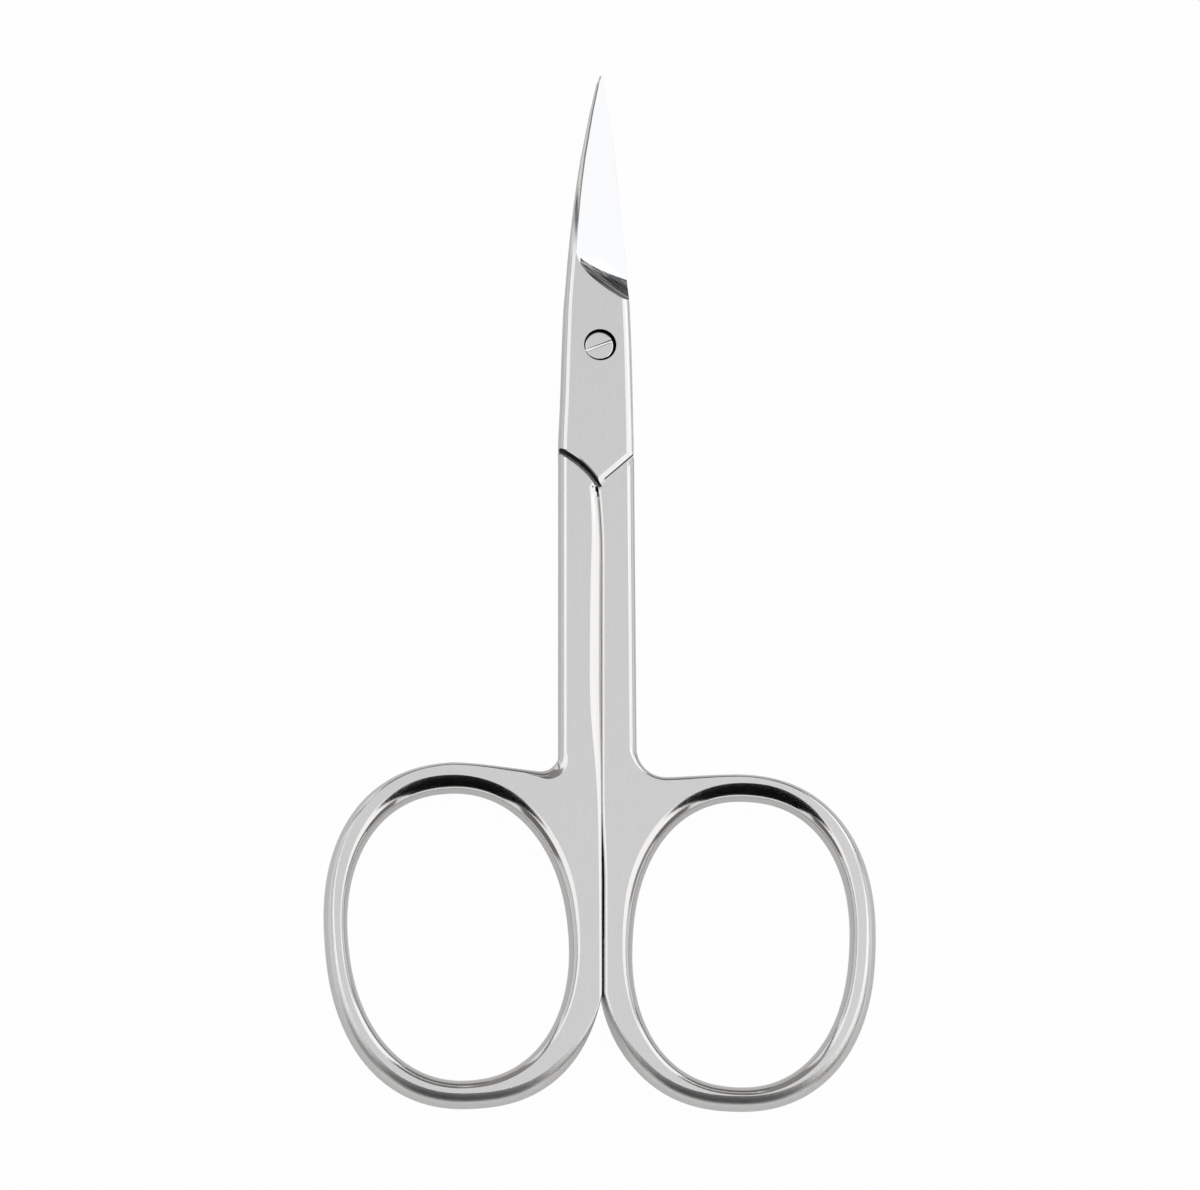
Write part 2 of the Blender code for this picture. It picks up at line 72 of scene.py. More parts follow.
# Blades and lap, measured from the pivot
BLADE_REACH = 24.7 * MM
LAP_WIDTH = 6.3 * MM
LAP_SIDE = 8.95 * MM
LAP_LOW = 11.75 * MM
LAP_THICKNESS = 1.5 * MM
TIP_THICKNESS = 0.6 * MM
TIP_WIDTH = 0.3 * MM
EDGE_THICKNESS = 0.12 * MM
EDGE_SETBACK = 0.03 * MM  # the cutting edges stand this far inside the outline
BLADE_AIR = 0.15 * MM  # between the two halves' inner faces
TAPER_START = 8.0 * MM
BEVEL_WIDTH = 0.62 * MM
BEVEL_DEPTH = 0.45 * MM  # where the blade has the lap's thickness
EDGE_BEVEL_SHARE = 0.62  # the same bevel is shallower on the cutting edge's side
TIP_BEVEL_WIDTH = 0.2 * MM
WIDEST_BEVEL = 1 / 3  # share of the blade's width that a bevel takes at the most
GRIND_START = 8.43 * MM
GRIND_FOOT = 4.49 * MM  # how far the rim of the grind runs down, at FULL_DEPTH
FULL_DEPTH = 1.25 * MM
GRIND_MIDDLE = 6.0 * MM
RUN_OUT = 2.2 * MM  # length of the grind's steeper end, at FULL_DEPTH
LEAST_RUN_OUT = 0.15 * MM  # the same where the grind is shallow
GRIND_LEAD = -0.5  # the wheel's space starts this share of its run-out before the rim
RUN_OUT_SIDE = 0.5 * MM  # from the blade's back bevel to the wheel's marks
STEEPEST_GRIND = math.tan(math.radians(19))
BEND_START = 6.0 * MM  # the blades curve to the back from this far above the pivot
BEND_RADIUS = 60.0 * MM

# Shoulders under the lap
SHOULDER_RADIUS = 7.5 * MM
SHOULDER_AIR = 0.45 * MM  # between the lap's foot and the other half's round shoulder
SHOULDER_BREAK = 0.1 * MM  # taken off the sharp edges round both
TOP_LEVEL = -(LAP_LOW + SHOULDER_AIR)  # where the line between the shanks ends
FOOT_NARROWING = 0.6 * MM  # keeps the lap's buried end inside the shank
STEP_SLOPE = (LAP_LOW - LAP_SIDE) / (LAP_WIDTH / 2)
STEP_RUN = 0.6 * MM  # length of the sloped step from the lap's face to the shank's
STEP_UP = 0.4 * MM  # the step is ground this far above the lap's foot
STEP_LAP = 0.004 * MM  # how far the step ends below the shank's face
STOP_WIDTH = 0.14 * MM  # fine groove at the foot of the step, in the finish of painted shade
STOP_DEPTH = 0.05 * MM
STOP_START = 0.45 * MM  # from the middle line

# Shanks and bows
FACE_HALF = 1.3 * MM
BOW_ROUND = 1.29 * MM  # height of the rounding on one side of the bow's bar
SHANK_AIR = 0.02 * MM  # between the closed shanks
SPLIT_X = 0.24 * MM  # place of the line between the shanks, seen from the front
SPLIT_TOP_X = -0.17 * MM  # the same at its top end
SPLIT_BLEND = 6.4 * MM  # length of the bend from one to the other
SPLAY_START = -38.5 * MM  # below this the roundings along that line widen
SPLAY_RUN = 7.5 * MM  # and a groove opens under them, all over this length
SHANK_EDGE_WIDTH = 0.62 * MM
SHANK_EDGE_DROP = 0.55 * MM
INNER_BEVEL_WIDTH = 1.0 * MM  # along the line between the shanks, on the back
SPLIT_BREAK = 0.1 * MM  # least rounding along the line between the shanks
SPLIT_ROUND = (0.2 * MM, 0.11 * MM)  # width and drop of the rounding along that line on the front
LOW_ROUND = (0.44 * MM, 0.14 * MM)  # the same lower down, with the groove under it
LOW_LEAN = 0.44  # share of that width that the groove takes
GROOVE_DEPTH = 1.8 * MM  # gives the dark line between the shanks
GROOVE_RINGS = 0.4  # share of the rings of points that go down the groove
BAR_WIDTH = 2.3 * MM  # unit of the shares that give the roundings round a bow
BOWS_DOWN = 65.2 * MM  # from the pivot down to the bows' low ends
POLISHED_OFF = 0.05 * MM  # taken off a bow's outside by the polishing wheel
CROTCH_RUN = 0.65  # share of the way from the shank to the bow's top that bulges
PARTING_RUN = 7.0 * MM  # over this the bow's rounding fades to the one between the shanks

# Pivot screw
SCREW_RADIUS = 0.95 * MM
HEAD_RADIUS = 1.24 * MM
HEAD_THICKNESS = 0.65 * MM
HEAD_SUNK = 0.1 * MM
HEAD_ROUND = 0.14 * MM
SLOT_WIDTH = 0.26 * MM
SLOT_DEPTH = 0.32 * MM
SLOT_TILT = 0.26 * MM  # fall of its floor from end to end
SLOT_LEAN = 0.055 * MM  # and from side to side
SLOT_FOOT = (0.2, 0.95)  # where its sloped side starts at each end, as shares of half its width
SLOT_SHADE_FACING = (-0.2, -0.05)  # that side faces further across and down, and is given painted shade
SLOT_ANGLE = math.radians(22)
SEAT_AIR = 0.095 * MM  # round the head
SEAT_OFF = (0.085 * MM, 0.065 * MM)  # the seat was drilled a little off the hinge axis
SEAT_FLOOR_AIR = 0.05 * MM  # under the head
SEAT_BREAK = 0.03 * MM  # taken off the seat's sharp edge
RUNNING_AIR = 0.05 * MM  # round the screw in the front half
HELD_AIR = 0.03 * MM  # round the screw in the rear half

OVERRUN = 1.0 * MM  # how far a cutting tool reaches past what it cuts
WELD = 0.0001 * MM  # points closer than this are one

# Fineness
STATION = 0.4 * MM  # distance between stations along an outline or a blade
TRIAL_STEPS = 880  # points round a bow from which evenly spaced ones are chosen
TRIAL_TURN = math.radians(0.1)  # step of a search for where two outlines meet
ROUND_STEPS = 7
EDGE_ROUND_STEPS = 5
ARC_STEPS = 24
SCREW_STEPS = 96
ACROSS_STEPS = 6
GRIND_STEPS = 44
RUN_OUT_STEPS = 18
ROUND_START = math.radians(10)  # a flat meets its rounding at this angle
BEVEL_END = math.radians(31)  # slope of an inner bevel where it meets the wall
BEVEL_FALL = math.tan((ROUND_START + BEVEL_END) / 2)  # its depth for each unit of width
SHARP_ANGLE = math.radians(30)  # two faces at a steeper angle meet in an edge
MITRE_ANGLE = math.radians(14)  # an outline's steeper bends are mitred corners

# Lap and blades seen from the front: place along the blade as a share of its reach, then the left
# and right edges there as shares of the lap's width
OUTLINE_SHARES = (
    (-0.34, -0.529, 0.462),
    (-0.18, -0.504, 0.450),
    (0.0, -0.483, 0.433),
    (0.14, -0.464, 0.414),
    (0.24, -0.437, 0.388),
    (0.35, -0.400, 0.355),
    (0.455, -0.356, 0.310),
    (0.565, -0.303, 0.272),
    (0.675, -0.238, 0.237),
    (0.787, -0.157, 0.198),
    (0.855, -0.104, 0.168),
    (0.924, -0.045, 0.128),
    (0.975, 0.002, 0.093),
)
TIP_SHARE = 0.063  # where the tip is across

# How the rim of the grind, the length of its run-out and the run-out's depth grow
RIM_POWER = 0.56
RUN_OUT_POWER = 0.62
RUN_OUT_CURVE = 1.35

# Width of the inner bevel down a shank: share of the way from the lap's foot to the bow's middle,
# then share of INNER_BEVEL_WIDTH
INNER_BEVEL_SHARES = (
    (-0.1, 0.66),
    (0.0, 0.66),
    (0.18, 0.9),
    (0.36, 1.0),
    (0.5, 0.95),
    (0.68, 0.42),
    (0.85, 0.25),
    (1.1, 0.2),
)

# Width of the rounding on the hole's side of a bow: turn round the bow, then share of BAR_WIDTH.
# Turn 0 is the far side, 0.25 the top and 0.5 the shank side.
HOLE_ROUND_SHARES = (
    (-0.12, 0.37),
    (0.0, 0.28),
    (0.07, 0.29),
    (0.13, 0.38),
    (0.18, 0.5),
    (0.23, 0.58),
    (0.3, 0.55),
    (0.38, 0.5),
    (0.45, 0.47),
    (0.52, 0.38),
    (0.62, 0.34),
    (0.75, 0.37),
    (0.88, 0.37),
    (1.0, 0.28),
    (1.07, 0.29),
)

# The same on the bow's outside, where turn 1.25 is the top and turns fall clockwise from there to
# where the bow meets the other one
OUTER_ROUND_SHARES = (
    (0.5, 0.36),
    (0.66, 0.42),
    (0.75, 0.47),
    (0.86, 0.44),
    (1.0, 0.38),
    (1.12, 0.28),
    (1.25, 0.17),
    (1.4, 0.17),
)
TOP_TURN = 1.25

# Order of the finishes on a handle
# DARK is the finish of painted shade
FLAT, ROUND, DARK, BUFFED = range(4)

# Streaks of the finishes
STREAK_LENGTH = 40  # times their distance apart
NOISE_DETAIL = 4.0
NOISE_ROUGHNESS = 0.6
NOISE_LOW = 0.25  # nearly all of the noise lies between these two
NOISE_HIGH = 0.75
WHEEL_MARKS = math.radians(-58)  # turn of the marks in the run-out of a grind
MARK_LOW = 0.42  # noise at which a wheel's mark begins to show
MARK_HIGH = 0.66
BUFFED_FROM = -50 * MM  # the buffing grows coarser from here to the bows' low ends
BUFFED_TO = -60 * MM
MIX_A, MIX_B, MIX_RESULT = 6, 7, 2  # the colour sockets of a Mix node

# Studio
CARD_DISTANCE = 0.5
LAMP_DISTANCE = 0.7
FLOOR_SIZE = 4
FLOOR_SEEN = 0.98  # share of the floor's light that is its own glow, seen straight
FLOOR_IN_STEEL = 0.35  # the same, mirrored in the steel

CARD_TONES = (
    ("black_velvet", "#101010"),
    ("charcoal_card", "#7a7876"),
    ("dull_grey_card", "#9a9896"),
    ("pale_grey_card", "#e8e8e8"),
    ("off_white_card", "#f2f2f2"),
)

# Cards that the steel mirrors: bearings and elevations of their edges, finish and lean, in degrees
CARDS = (
    ("card_near_bows", (-133, -50), (14, 73), "black_velvet", 0),
    ("card_past_tips", (57, 100), (1, 30), "charcoal_card", 0),
    ("card_past_tips_high", (51, 92), (35, 62), "charcoal_card", 0),
    ("card_far_left", (93, 126), (2, 62), "dull_grey_card", 0),
    ("card_left", (152, 198), (1, 38), "pale_grey_card", 0),
    ("card_low_left", (198, 227), (8, 42), "charcoal_card", 0),
    ("card_right", (-2, 20), (1, 28), "off_white_card", 0),
    ("card_low_right", (-50, -24), (5, 32), "charcoal_card", 0),
    ("card_lower_right", (-24, -2), (12, 32), "dull_grey_card", 0),
    ("card_past_right", (20, 57), (1, 17), "charcoal_card", 0),
    ("card_at_spine", (138.2, 143.2), (3, 47), "black_velvet", -19),
    ("frame_left", (150, 198), (38, 42), "charcoal_card", 0),
    ("frame_right", (-2, 26), (28, 32), "charcoal_card", 0),
)

# Lamps: bearings and elevations of their edges, in degrees, and radiance
LAMPS = (
    ("softbox_right", (-45, 28), (32, 80), 0.37),
    ("softbox_past_right", (28, 64), (3, 57), 0.4),
    ("softbox_left", (130, 215), (42, 74), 0.32),
)

# Camera
CAMERA_TARGET = Vector((0.148, -21.256, 1.5)) * MM
CAMERA_DISTANCE = 840 * MM
CAMERA_LEAN = math.radians(13)  # from the vertical towards -Y
CAMERA_SIDE = math.radians(3.2)  # from the vertical towards -X
SENSOR_WIDTH = 36.0
LENS = 300.0
CLIP = (0.05, 20)

Oval = namedtuple("Oval", "x y half_width half_length lean fullness", defaults=(0, 2))
Bar = namedtuple("Bar", "near far top low")
Half = namedtuple("Half", "side hole outer edge_top edge_low crotch_y crotch_radius crotch_bulge")

# A point of an outline, and the width and drop of the rounding there on the front and the back.
# lean is the share of the front's width that a groove under the rounding takes.
Station = namedtuple("Station", "place front back lean", defaults=(0,))


def bow_outlines(half_width, half_length, past, bar):
    """A bow's hole and its outside, set by the hole's size and the bar's width at its four sides.

    past is how far the bar's near side, drawn whole, would reach past the middle line.
    """
    hole = Oval(
        x=half_width + bar.near - past,
        y=half_length + bar.low - BOWS_DOWN,
        half_width=half_width,
        half_length=half_length,
    )
    outer = Oval(
        x=hole.x + (bar.far - bar.near) / 2,
        y=hole.y + (bar.top - bar.low) / 2,
        half_width=half_width + (bar.far + bar.near) / 2 - POLISHED_OFF,
        half_length=half_length + (bar.top + bar.low) / 2 - POLISHED_OFF,
    )
    return hole, outer


def front_values():
    """Sizes of the front half's shank and bow."""
    bar = Bar(near=3.0 * MM, far=2.26 * MM, top=2.3 * MM, low=2.06 * MM)
    hole, outer = bow_outlines(half_width=9.05 * MM, half_length=12.15 * MM, past=0.12 * MM, bar=bar)
    return Half(
        side=1,
        hole=hole._replace(lean=math.radians(-3.5), fullness=2.23),
        outer=outer._replace(lean=math.radians(-1.8), fullness=2.29),
        edge_top=2.98 * MM,
        edge_low=3.19 * MM,
        crotch_y=outer.y + outer.half_length - 0.48 * MM,
        crotch_radius=2.4 * MM,
        crotch_bulge=-0.12 * MM,
    )


def rear_values():
    """Sizes of the rear half's shank and bow."""
    bar = Bar(near=3.06 * MM, far=2.04 * MM, top=2.66 * MM, low=2.38 * MM)
    hole, outer = bow_outlines(half_width=9.17 * MM, half_length=12.2 * MM, past=0.55 * MM, bar=bar)
    return Half(
        side=-1,
        hole=hole._replace(lean=math.radians(-5.7), fullness=2.17),
        outer=outer._replace(lean=math.radians(-4.3), fullness=2.3),
        edge_top=3.35 * MM,
        edge_low=3.33 * MM,
        crotch_y=outer.y + outer.half_length - 0.9 * MM,
        crotch_radius=1.5 * MM,
        crotch_bulge=0.45 * MM,
    )


def between(low, high, share):
    """The value at a share of the way from low to high."""
    return low + (high - low) * share


def limited(share):
    """A share kept between 0 and 1."""
    return min(max(share, 0), 1)


def eased(share):
    """A share from 0 to 1 that starts and ends level."""
    share = limited(share)
    return share * share * (3 - 2 * share)


def spread(low, high, count):
    """Evenly spaced values from low to high."""
    return [between(low, high, i / (count - 1)) for i in range(count)]


def smooth_row(rows, place):
    """Read a table at a place in its first column, on a Catmull-Rom curve through its rows."""
    last = len(rows) - 1
    index = max(i for i in range(last) if i == 0 or rows[i][0] <= place)
    before, here, there, after = (rows[min(max(index + i, 0), last)] for i in (-1, 0, 1, 2))
    share = limited((place - here[0]) / (there[0] - here[0]))
    values = []
    for a, b, c, d in zip(before[1:], here[1:], there[1:], after[1:]):
        turn = (c - a) * share + (2 * a - 5 * b + 4 * c - d) * share**2
        values.append(b + 0.5 * (turn + (3 * b - a - 3 * c + d) * share**3))
    return values


def arc(centre, radius, start, end, steps):
    """Points on a round stretch, from one angle to another."""
    points = []
    for i in range(steps + 1):
        angle = between(start, end, i / steps)
        points.append(Vector((centre.x + radius * math.cos(angle), centre.y + radius * math.sin(angle))))
    return points


def line(start, end):
    """Points from start up to, but without, end."""
    steps = max(round((end - start).length / STATION), 1)
    return [start.lerp(end, i / steps) for i in range(steps)]


def oval_point(oval, angle):
    """Point of a leaning superellipse. A fullness of 2 is a plain ellipse."""
    power = 2 / oval.fullness
    x = math.copysign(abs(math.cos(angle)) ** power, math.cos(angle)) * oval.half_width
    y = math.copysign(abs(math.sin(angle)) ** power, math.sin(angle)) * oval.half_length
    turn = Matrix.Rotation(oval.lean, 2)
    return Vector((oval.x, oval.y)) + turn @ Vector((x, y))


def even_turns(oval, start, end):
    """Angles from start to end whose points on the oval are about a station apart."""
    fine = spread(start, end, TRIAL_STEPS)
    points = [oval_point(oval, angle) for angle in fine]
    walked = [0.0]
    for here, there in zip(points, points[1:]):
        walked.append(walked[-1] + (there - here).length)
    steps = round(walked[-1] / STATION)
    angles = []
    index = 0
    for step in range(steps + 1):
        goal = walked[-1] * step / steps
        while index < len(walked) - 2 and walked[index + 1] < goal:
            index += 1
        share = (goal - walked[index]) / (walked[index + 1] - walked[index])
        angles.append(between(fine[index], fine[index + 1], min(share, 1)))
    return angles


def new_object(name, bm, finishes):
    """Put a finished bmesh into the scene, with its faces turned outwards."""
    bmesh.ops.recalc_face_normals(bm, faces=bm.faces)
    mesh = bpy.data.meshes.new(name)
    bm.to_mesh(mesh)
    bm.free()
    for finish in finishes:
        mesh.materials.append(finish)
    obj = bpy.data.objects.new(name, mesh)
    bpy.context.scene.collection.objects.link(obj)
    return obj


def combine(target, tool, operation):
    """Join or cut target with tool. Each new face keeps the finish of the piece it comes from."""
    modifier = target.modifiers.new("combine", "BOOLEAN")
    modifier.operation = operation
    modifier.solver = "EXACT"
    modifier.material_mode = "TRANSFER"
    modifier.object = tool
    depsgraph = bpy.context.evaluated_depsgraph_get()
    result = bpy.data.meshes.new_from_object(target.evaluated_get(depsgraph))
    target.modifiers.clear()
    target.data = result
    bpy.data.objects.remove(tool, do_unlink=True)
    bm = bmesh.new()
    bm.from_mesh(result)
    bmesh.ops.remove_doubles(bm, verts=bm.verts, dist=WELD)
    bmesh.ops.dissolve_degenerate(bm, edges=bm.edges, dist=WELD)
    bm.to_mesh(result)
    bm.free()


def closed_loop(bm, points):
    """Edges of a closed line through the points."""
    corners = [bm.verts.new(point) for point in points]
    pairs = zip(corners, corners[1:] + corners[:1])
    return [bm.edges.new(pair) for pair in pairs]


def loft(name, sections, finishes, kinds=None):
    """A solid through closed sections with the same number of points.

    kinds gives the finish between each section and the next.
    """
    bm = bmesh.new()
    loops = [closed_loop(bm, section) for section in sections]
    for lower, upper, kind in zip(loops, loops[1:], kinds or [0] * len(loops)):
        for face in bmesh.ops.bridge_loops(bm, edges=lower + upper)["faces"]:
            face.material_index = kind
    bmesh.ops.edgeloop_fill(bm, edges=loops[0])
    bmesh.ops.edgeloop_fill(bm, edges=loops[-1])
    return new_object(name, bm, finishes)


def prism(name, outline, low, high, finishes):
    """A plate with this plan outline between two heights."""
    bm = bmesh.new()
    face = bm.faces.new([bm.verts.new((x, y, low)) for x, y in outline])
    grown = bmesh.ops.extrude_face_region(bm, geom=[face])["geom"]
    raised = [item for item in grown if isinstance(item, bmesh.types.BMVert)]
    bmesh.ops.translate(bm, verts=raised, vec=(0, 0, high - low))
    return new_object(name, bm, finishes)


def turned(name, profile, steps, finishes, centre=(0, 0)):
    """A solid turned about a vertical axis from a profile of (radius, height) points."""
    bm = bmesh.new()
    points = [bm.verts.new((radius, 0, height)) for radius, height in profile]
    edges = [bm.edges.new(pair) for pair in zip(points, points[1:])]
    bmesh.ops.spin(
        bm,
        geom=points + edges,
        cent=(0, 0, 0),
        axis=(0, 0, 1),
        angle=math.tau,
        steps=steps,
        use_merge=True,
    )
    bmesh.ops.remove_doubles(bm, verts=bm.verts, dist=WELD)
    bmesh.ops.translate(bm, verts=bm.verts, vec=(*centre, 0))
    return new_object(name, bm, finishes)


def shoulder_centre():
    """Centre of the round edge at the lap's foot, on the left in a half's own plan."""
    side = Vector((-LAP_WIDTH / 2, -LAP_SIDE))
    middle = Vector((0, -LAP_LOW))
    chord = middle - side
    away = Vector((chord.y, -chord.x)).normalized()
    rise = math.sqrt(SHOULDER_RADIUS**2 - (chord.length / 2) ** 2)
    return (side + middle) / 2 + away * rise


def shank_end_centre():
    """Centre of the shank's round end, which the other half's lap clears."""
    centre = shoulder_centre()
    return Vector((-centre.x, centre.y))


def splay_at(y):
    """How far the roundings along the line between the shanks have widened at a height."""
    return eased((SPLAY_START - y) / SPLAY_RUN)


def split_line(half, y):
    """The shank's inner edge at a height, in the half's own plan."""
    share = 1 - (1 - limited((-LAP_LOW - y) / SPLIT_BLEND)) ** 2
    return half.side * between(SPLIT_TOP_X, SPLIT_X, share) + SHANK_AIR / 2


def parting_turn(half):
    """Angle on the bow's outside, past its lowest point, where it meets the line between the shanks."""
    angle = -math.tau / 4
    while oval_point(half.outer, angle).x > split_line(half, oval_point(half.outer, angle).y):
        angle -= TRIAL_TURN
    return angle


def top_stations(half):
    """The shank's round end under the other half's lap, from the middle line outwards.

    Its last point comes by itself, as the corner where the shank's outer edge starts.
    """
    centre = shank_end_centre()
    radius = SHOULDER_RADIUS - SHOULDER_AIR
    outer_angle = math.acos((half.edge_top - centre.x) / radius)
    inner_angle = math.pi
    x, y = centre.x - radius, centre.y
    while x < split_line(half, y):
        inner_angle -= TRIAL_TURN
        x = centre.x + radius * math.cos(inner_angle)
        y = centre.y + radius * math.sin(inner_angle)
    round_end = arc(centre, radius, inner_angle, outer_angle, ARC_STEPS)
    shoulder = [point for point in round_end if point.y > TOP_LEVEL]
    corner = Vector((split_line(half, TOP_LEVEL), TOP_LEVEL))
    points = line(corner, Vector((shoulder[0].x - STATION / 2, TOP_LEVEL))) + shoulder
    rounding = (SHOULDER_BREAK, SHOULDER_BREAK)
    return [Station(point, rounding, rounding) for point in points[:-1]], points[-1]


def level_line(start, end):
    """Points on a way that leaves start straight towards end and comes to end level."""
    points = line(start, end)
    for point in points:
        share = (point.x - start.x) / (end.x - start.x)
        point.y += (end.y - start.y) * share * share * (1 - share)
    return points


def crotch_stations(half, corner):
    """The shank's outer edge, the corner between shank and bow, and the way up to the bow's top."""
    bow_top = oval_point(half.outer, math.tau / 4)
    low_corner = Vector((half.edge_low, half.crotch_y))
    web_turn = math.atan2(bow_top.y - low_corner.y, bow_top.x - low_corner.x)
    edge_turn = math.atan2(half.edge_low - corner.x, corner.y - half.crotch_y)
    opening = (math.tau / 4 + edge_turn - web_turn) / 2
    away = half.crotch_radius / math.sin(opening)
    middle = (math.tau / 4 + edge_turn + web_turn) / 2
    centre = low_corner + away * Vector((math.cos(middle), math.sin(middle)))
    bend = arc(centre, half.crotch_radius, math.pi + edge_turn, 1.5 * math.pi + web_turn, ARC_STEPS)
    edge_rounding = (SHANK_EDGE_WIDTH, SHANK_EDGE_DROP)
    stations = [Station(point, edge_rounding, edge_rounding) for point in line(corner, bend[0])]
    rest = bend[:-1] + level_line(bend[-1], bow_top)
    top_width = smooth_row(OUTER_ROUND_SHARES, TOP_TURN)[0] * BAR_WIDTH
    for index, point in enumerate(rest):
        share = index / len(rest)
        ease = eased(share)
        bulge = half.crotch_bulge * math.sin(math.pi * min(share / CROTCH_RUN, 1))
        width = between(SHANK_EDGE_WIDTH, top_width, ease) + bulge
        rounding = (width, between(SHANK_EDGE_DROP, BOW_ROUND, ease))
        stations.append(Station(point, rounding, rounding))
    return stations


def bow_stations(half, parting):
    """The bow's outside, clockwise from its top to where it meets the other bow."""
    stations = []
    for angle in even_turns(half.outer, math.tau / 4, parting)[:-1]:
        turn = 1 + angle / math.tau
        width = smooth_row(OUTER_ROUND_SHARES, turn)[0] * BAR_WIDTH
        ease = eased((angle - parting) * half.outer.half_width / PARTING_RUN)
        front = (between(LOW_ROUND[0], width, ease), between(LOW_ROUND[1], BOW_ROUND, ease))
        back = (between(SPLIT_BREAK, width, ease), between(SPLIT_BREAK, BOW_ROUND, ease))
        lean = LOW_LEAN * (1 - ease)
        stations.append(Station(oval_point(half.outer, angle), front, back, lean))
    return stations


def split_stations(half, start, end):
    """The shank's inner edge, up from the bow to the lap's foot."""
    length = -LAP_LOW - half.outer.y
    stations = []
    for point in line(start, end):
        share = (-LAP_LOW - point.y) / length
        place = Vector((split_line(half, point.y), point.y))
        bevel = max(smooth_row(INNER_BEVEL_SHARES, share)[0] * INNER_BEVEL_WIDTH, SPLIT_BREAK)
        splay = splay_at(point.y)
        front = tuple(between(high, low, splay) for high, low in zip(SPLIT_ROUND, LOW_ROUND))
        stations.append(Station(place, front, (bevel, bevel * BEVEL_FALL), LOW_LEAN * splay))
    return stations


def rounding_at(share, width, drop, end=math.tau / 4):
    """How far out and down, as shares, an elliptical rounding is at a share of its turn.

    It starts at ROUND_START from the flat. end is its slope where it meets the wall.
    """
    squash = drop / width if end > BEVEL_END else 1
    start = math.atan(math.tan(ROUND_START) / squash)
    angle = between(start, end, share)
    out = (math.sin(angle) - math.sin(start)) / (math.sin(end) - math.sin(start))
    return out, (math.cos(start) - math.cos(angle)) / (math.cos(start) - math.cos(end))


def inset(points, widths, hand):
    """Move a closed outline sideways, each edge by its own width: to the right if hand is 1."""
    moved = []
    corners = []
    count = len(points)
    for i, point in enumerate(points):
        before = (point - points[i - 1]).normalized()
        after = (points[(i + 1) % count] - point).normalized()
        first = Vector((before.y, -before.x)) * hand
        second = Vector((after.y, -after.x)) * hand
        width_before, width_after = widths[i - 1], widths[i]
        cross = first.x * second.y - first.y * second.x
        if abs(cross) < math.sin(MITRE_ANGLE):
            moved.append(point + (first + second).normalized() * width_after)
        else:
            x = (width_before * second.y - width_after * first.y) / cross
            y = (width_after * first.x - width_before * second.x) / cross
            moved.append(point + Vector((x, y)))
            corners.append(i)
    for corner in corners:
        for step in (1, -1):
            for reach in range(1, ARC_STEPS // 2):
                i = (corner + step * reach) % count
                along = points[(i + 1) % count] - points[i - 1]
                if (moved[i] - moved[corner]).dot(along) * step > 0:
                    break
                moved[i] = moved[corner]
    return moved


def side_point(share, width, drop, end, lean):
    """How far out, as a share, and how far down the side of a handle is at a share of its rings.

    The rings go round the rounding. Where there is a groove, the last of them go down into it.
    """
    opened = lean / LOW_LEAN
    rounded = 1 - GROOVE_RINGS * opened
    out, down = rounding_at(min(share / rounded, 1), width * (1 - lean), drop, end)
    angle = math.tau / 4 * (share - rounded) / (1 - rounded) if share > rounded else 0
    out = out * (1 - lean) + math.sin(angle) * lean
    return out, drop * down + GROOVE_DEPTH * opened * (1 - math.cos(angle))


def wall(bm, stations, hand, back_ends):
    """Bridge the rounded side of an outline from the front flat to the back flat.

    back_ends are the slopes at which the back's roundings end. The front's end upright.
    """
    places = [station.place for station in stations]
    rings = []
    for sign in (1, -1):
        roundings = [station.front if sign > 0 else station.back for station in stations]
        leans = [station.lean if sign > 0 else 0 for station in stations]
        ends = [math.tau / 4] * len(stations) if sign > 0 else back_ends
        border = inset(places, [width for width, _ in roundings], hand)
        side = []
        for share in spread(0, 1, ROUND_STEPS):
            ring = []
            for flat, edge, rounding, end, lean in zip(border, places, roundings, ends, leans):
                out, down = side_point(share, *rounding, end, lean)
                place = flat.lerp(edge, out)
                ring.append((place.x, place.y, sign * (FACE_HALF - down)))
            side.append(ring)
        rings += side if sign > 0 else reversed(side)
    loops = [closed_loop(bm, ring) for ring in rings]
    for upper, lower in zip(loops, loops[1:]):
        bmesh.ops.bridge_loops(bm, edges=upper + lower)


def is_buffed(half, place, parting):
    """Whether a place on the outside of a half is on the bow's bar, past the bow's top."""
    return place.x > half.outer.x or place.y < parting.y


def hole_stations(half):
    """The finger hole's edge, clockwise from the bow's far side."""
    stations = []
    for angle in even_turns(half.hole, math.tau, 0)[:-1]:
        rounding = (smooth_row(HOLE_ROUND_SHARES, angle / math.tau)[0] * BAR_WIDTH, BOW_ROUND)
        stations.append(Station(oval_point(half.hole, angle), rounding, rounding))
    return stations


def fill_flats(bm):
    """Close the front and the back, each between the outside and the finger hole."""
    for sign in (1, -1):
        rim = [edge for edge in bm.edges if edge.is_boundary and edge.verts[0].co.z * sign > 0]
        for item in bmesh.ops.triangle_fill(bm, edges=rim, use_beauty=True)["geom"]:
            if isinstance(item, bmesh.types.BMFace):
                item.material_index = FLAT


def paint_end_shade(bm, half):
    """Give the upright part of the shank's round end, in the gap under the other half's lap, the finish
    of painted shade.
    """
    centre = shank_end_centre()
    least_radius = SHOULDER_RADIUS - SHOULDER_AIR - STATION / 2
    for face in bm.faces:
        middle = face.calc_center_median()
        upright = abs(middle.z) < FACE_HALF - SHOULDER_BREAK
        inside = middle.y > centre.y and middle.x < half.edge_top - STATION
        if upright and inside and (middle.xy - centre).length > least_radius:
            face.material_index = DARK


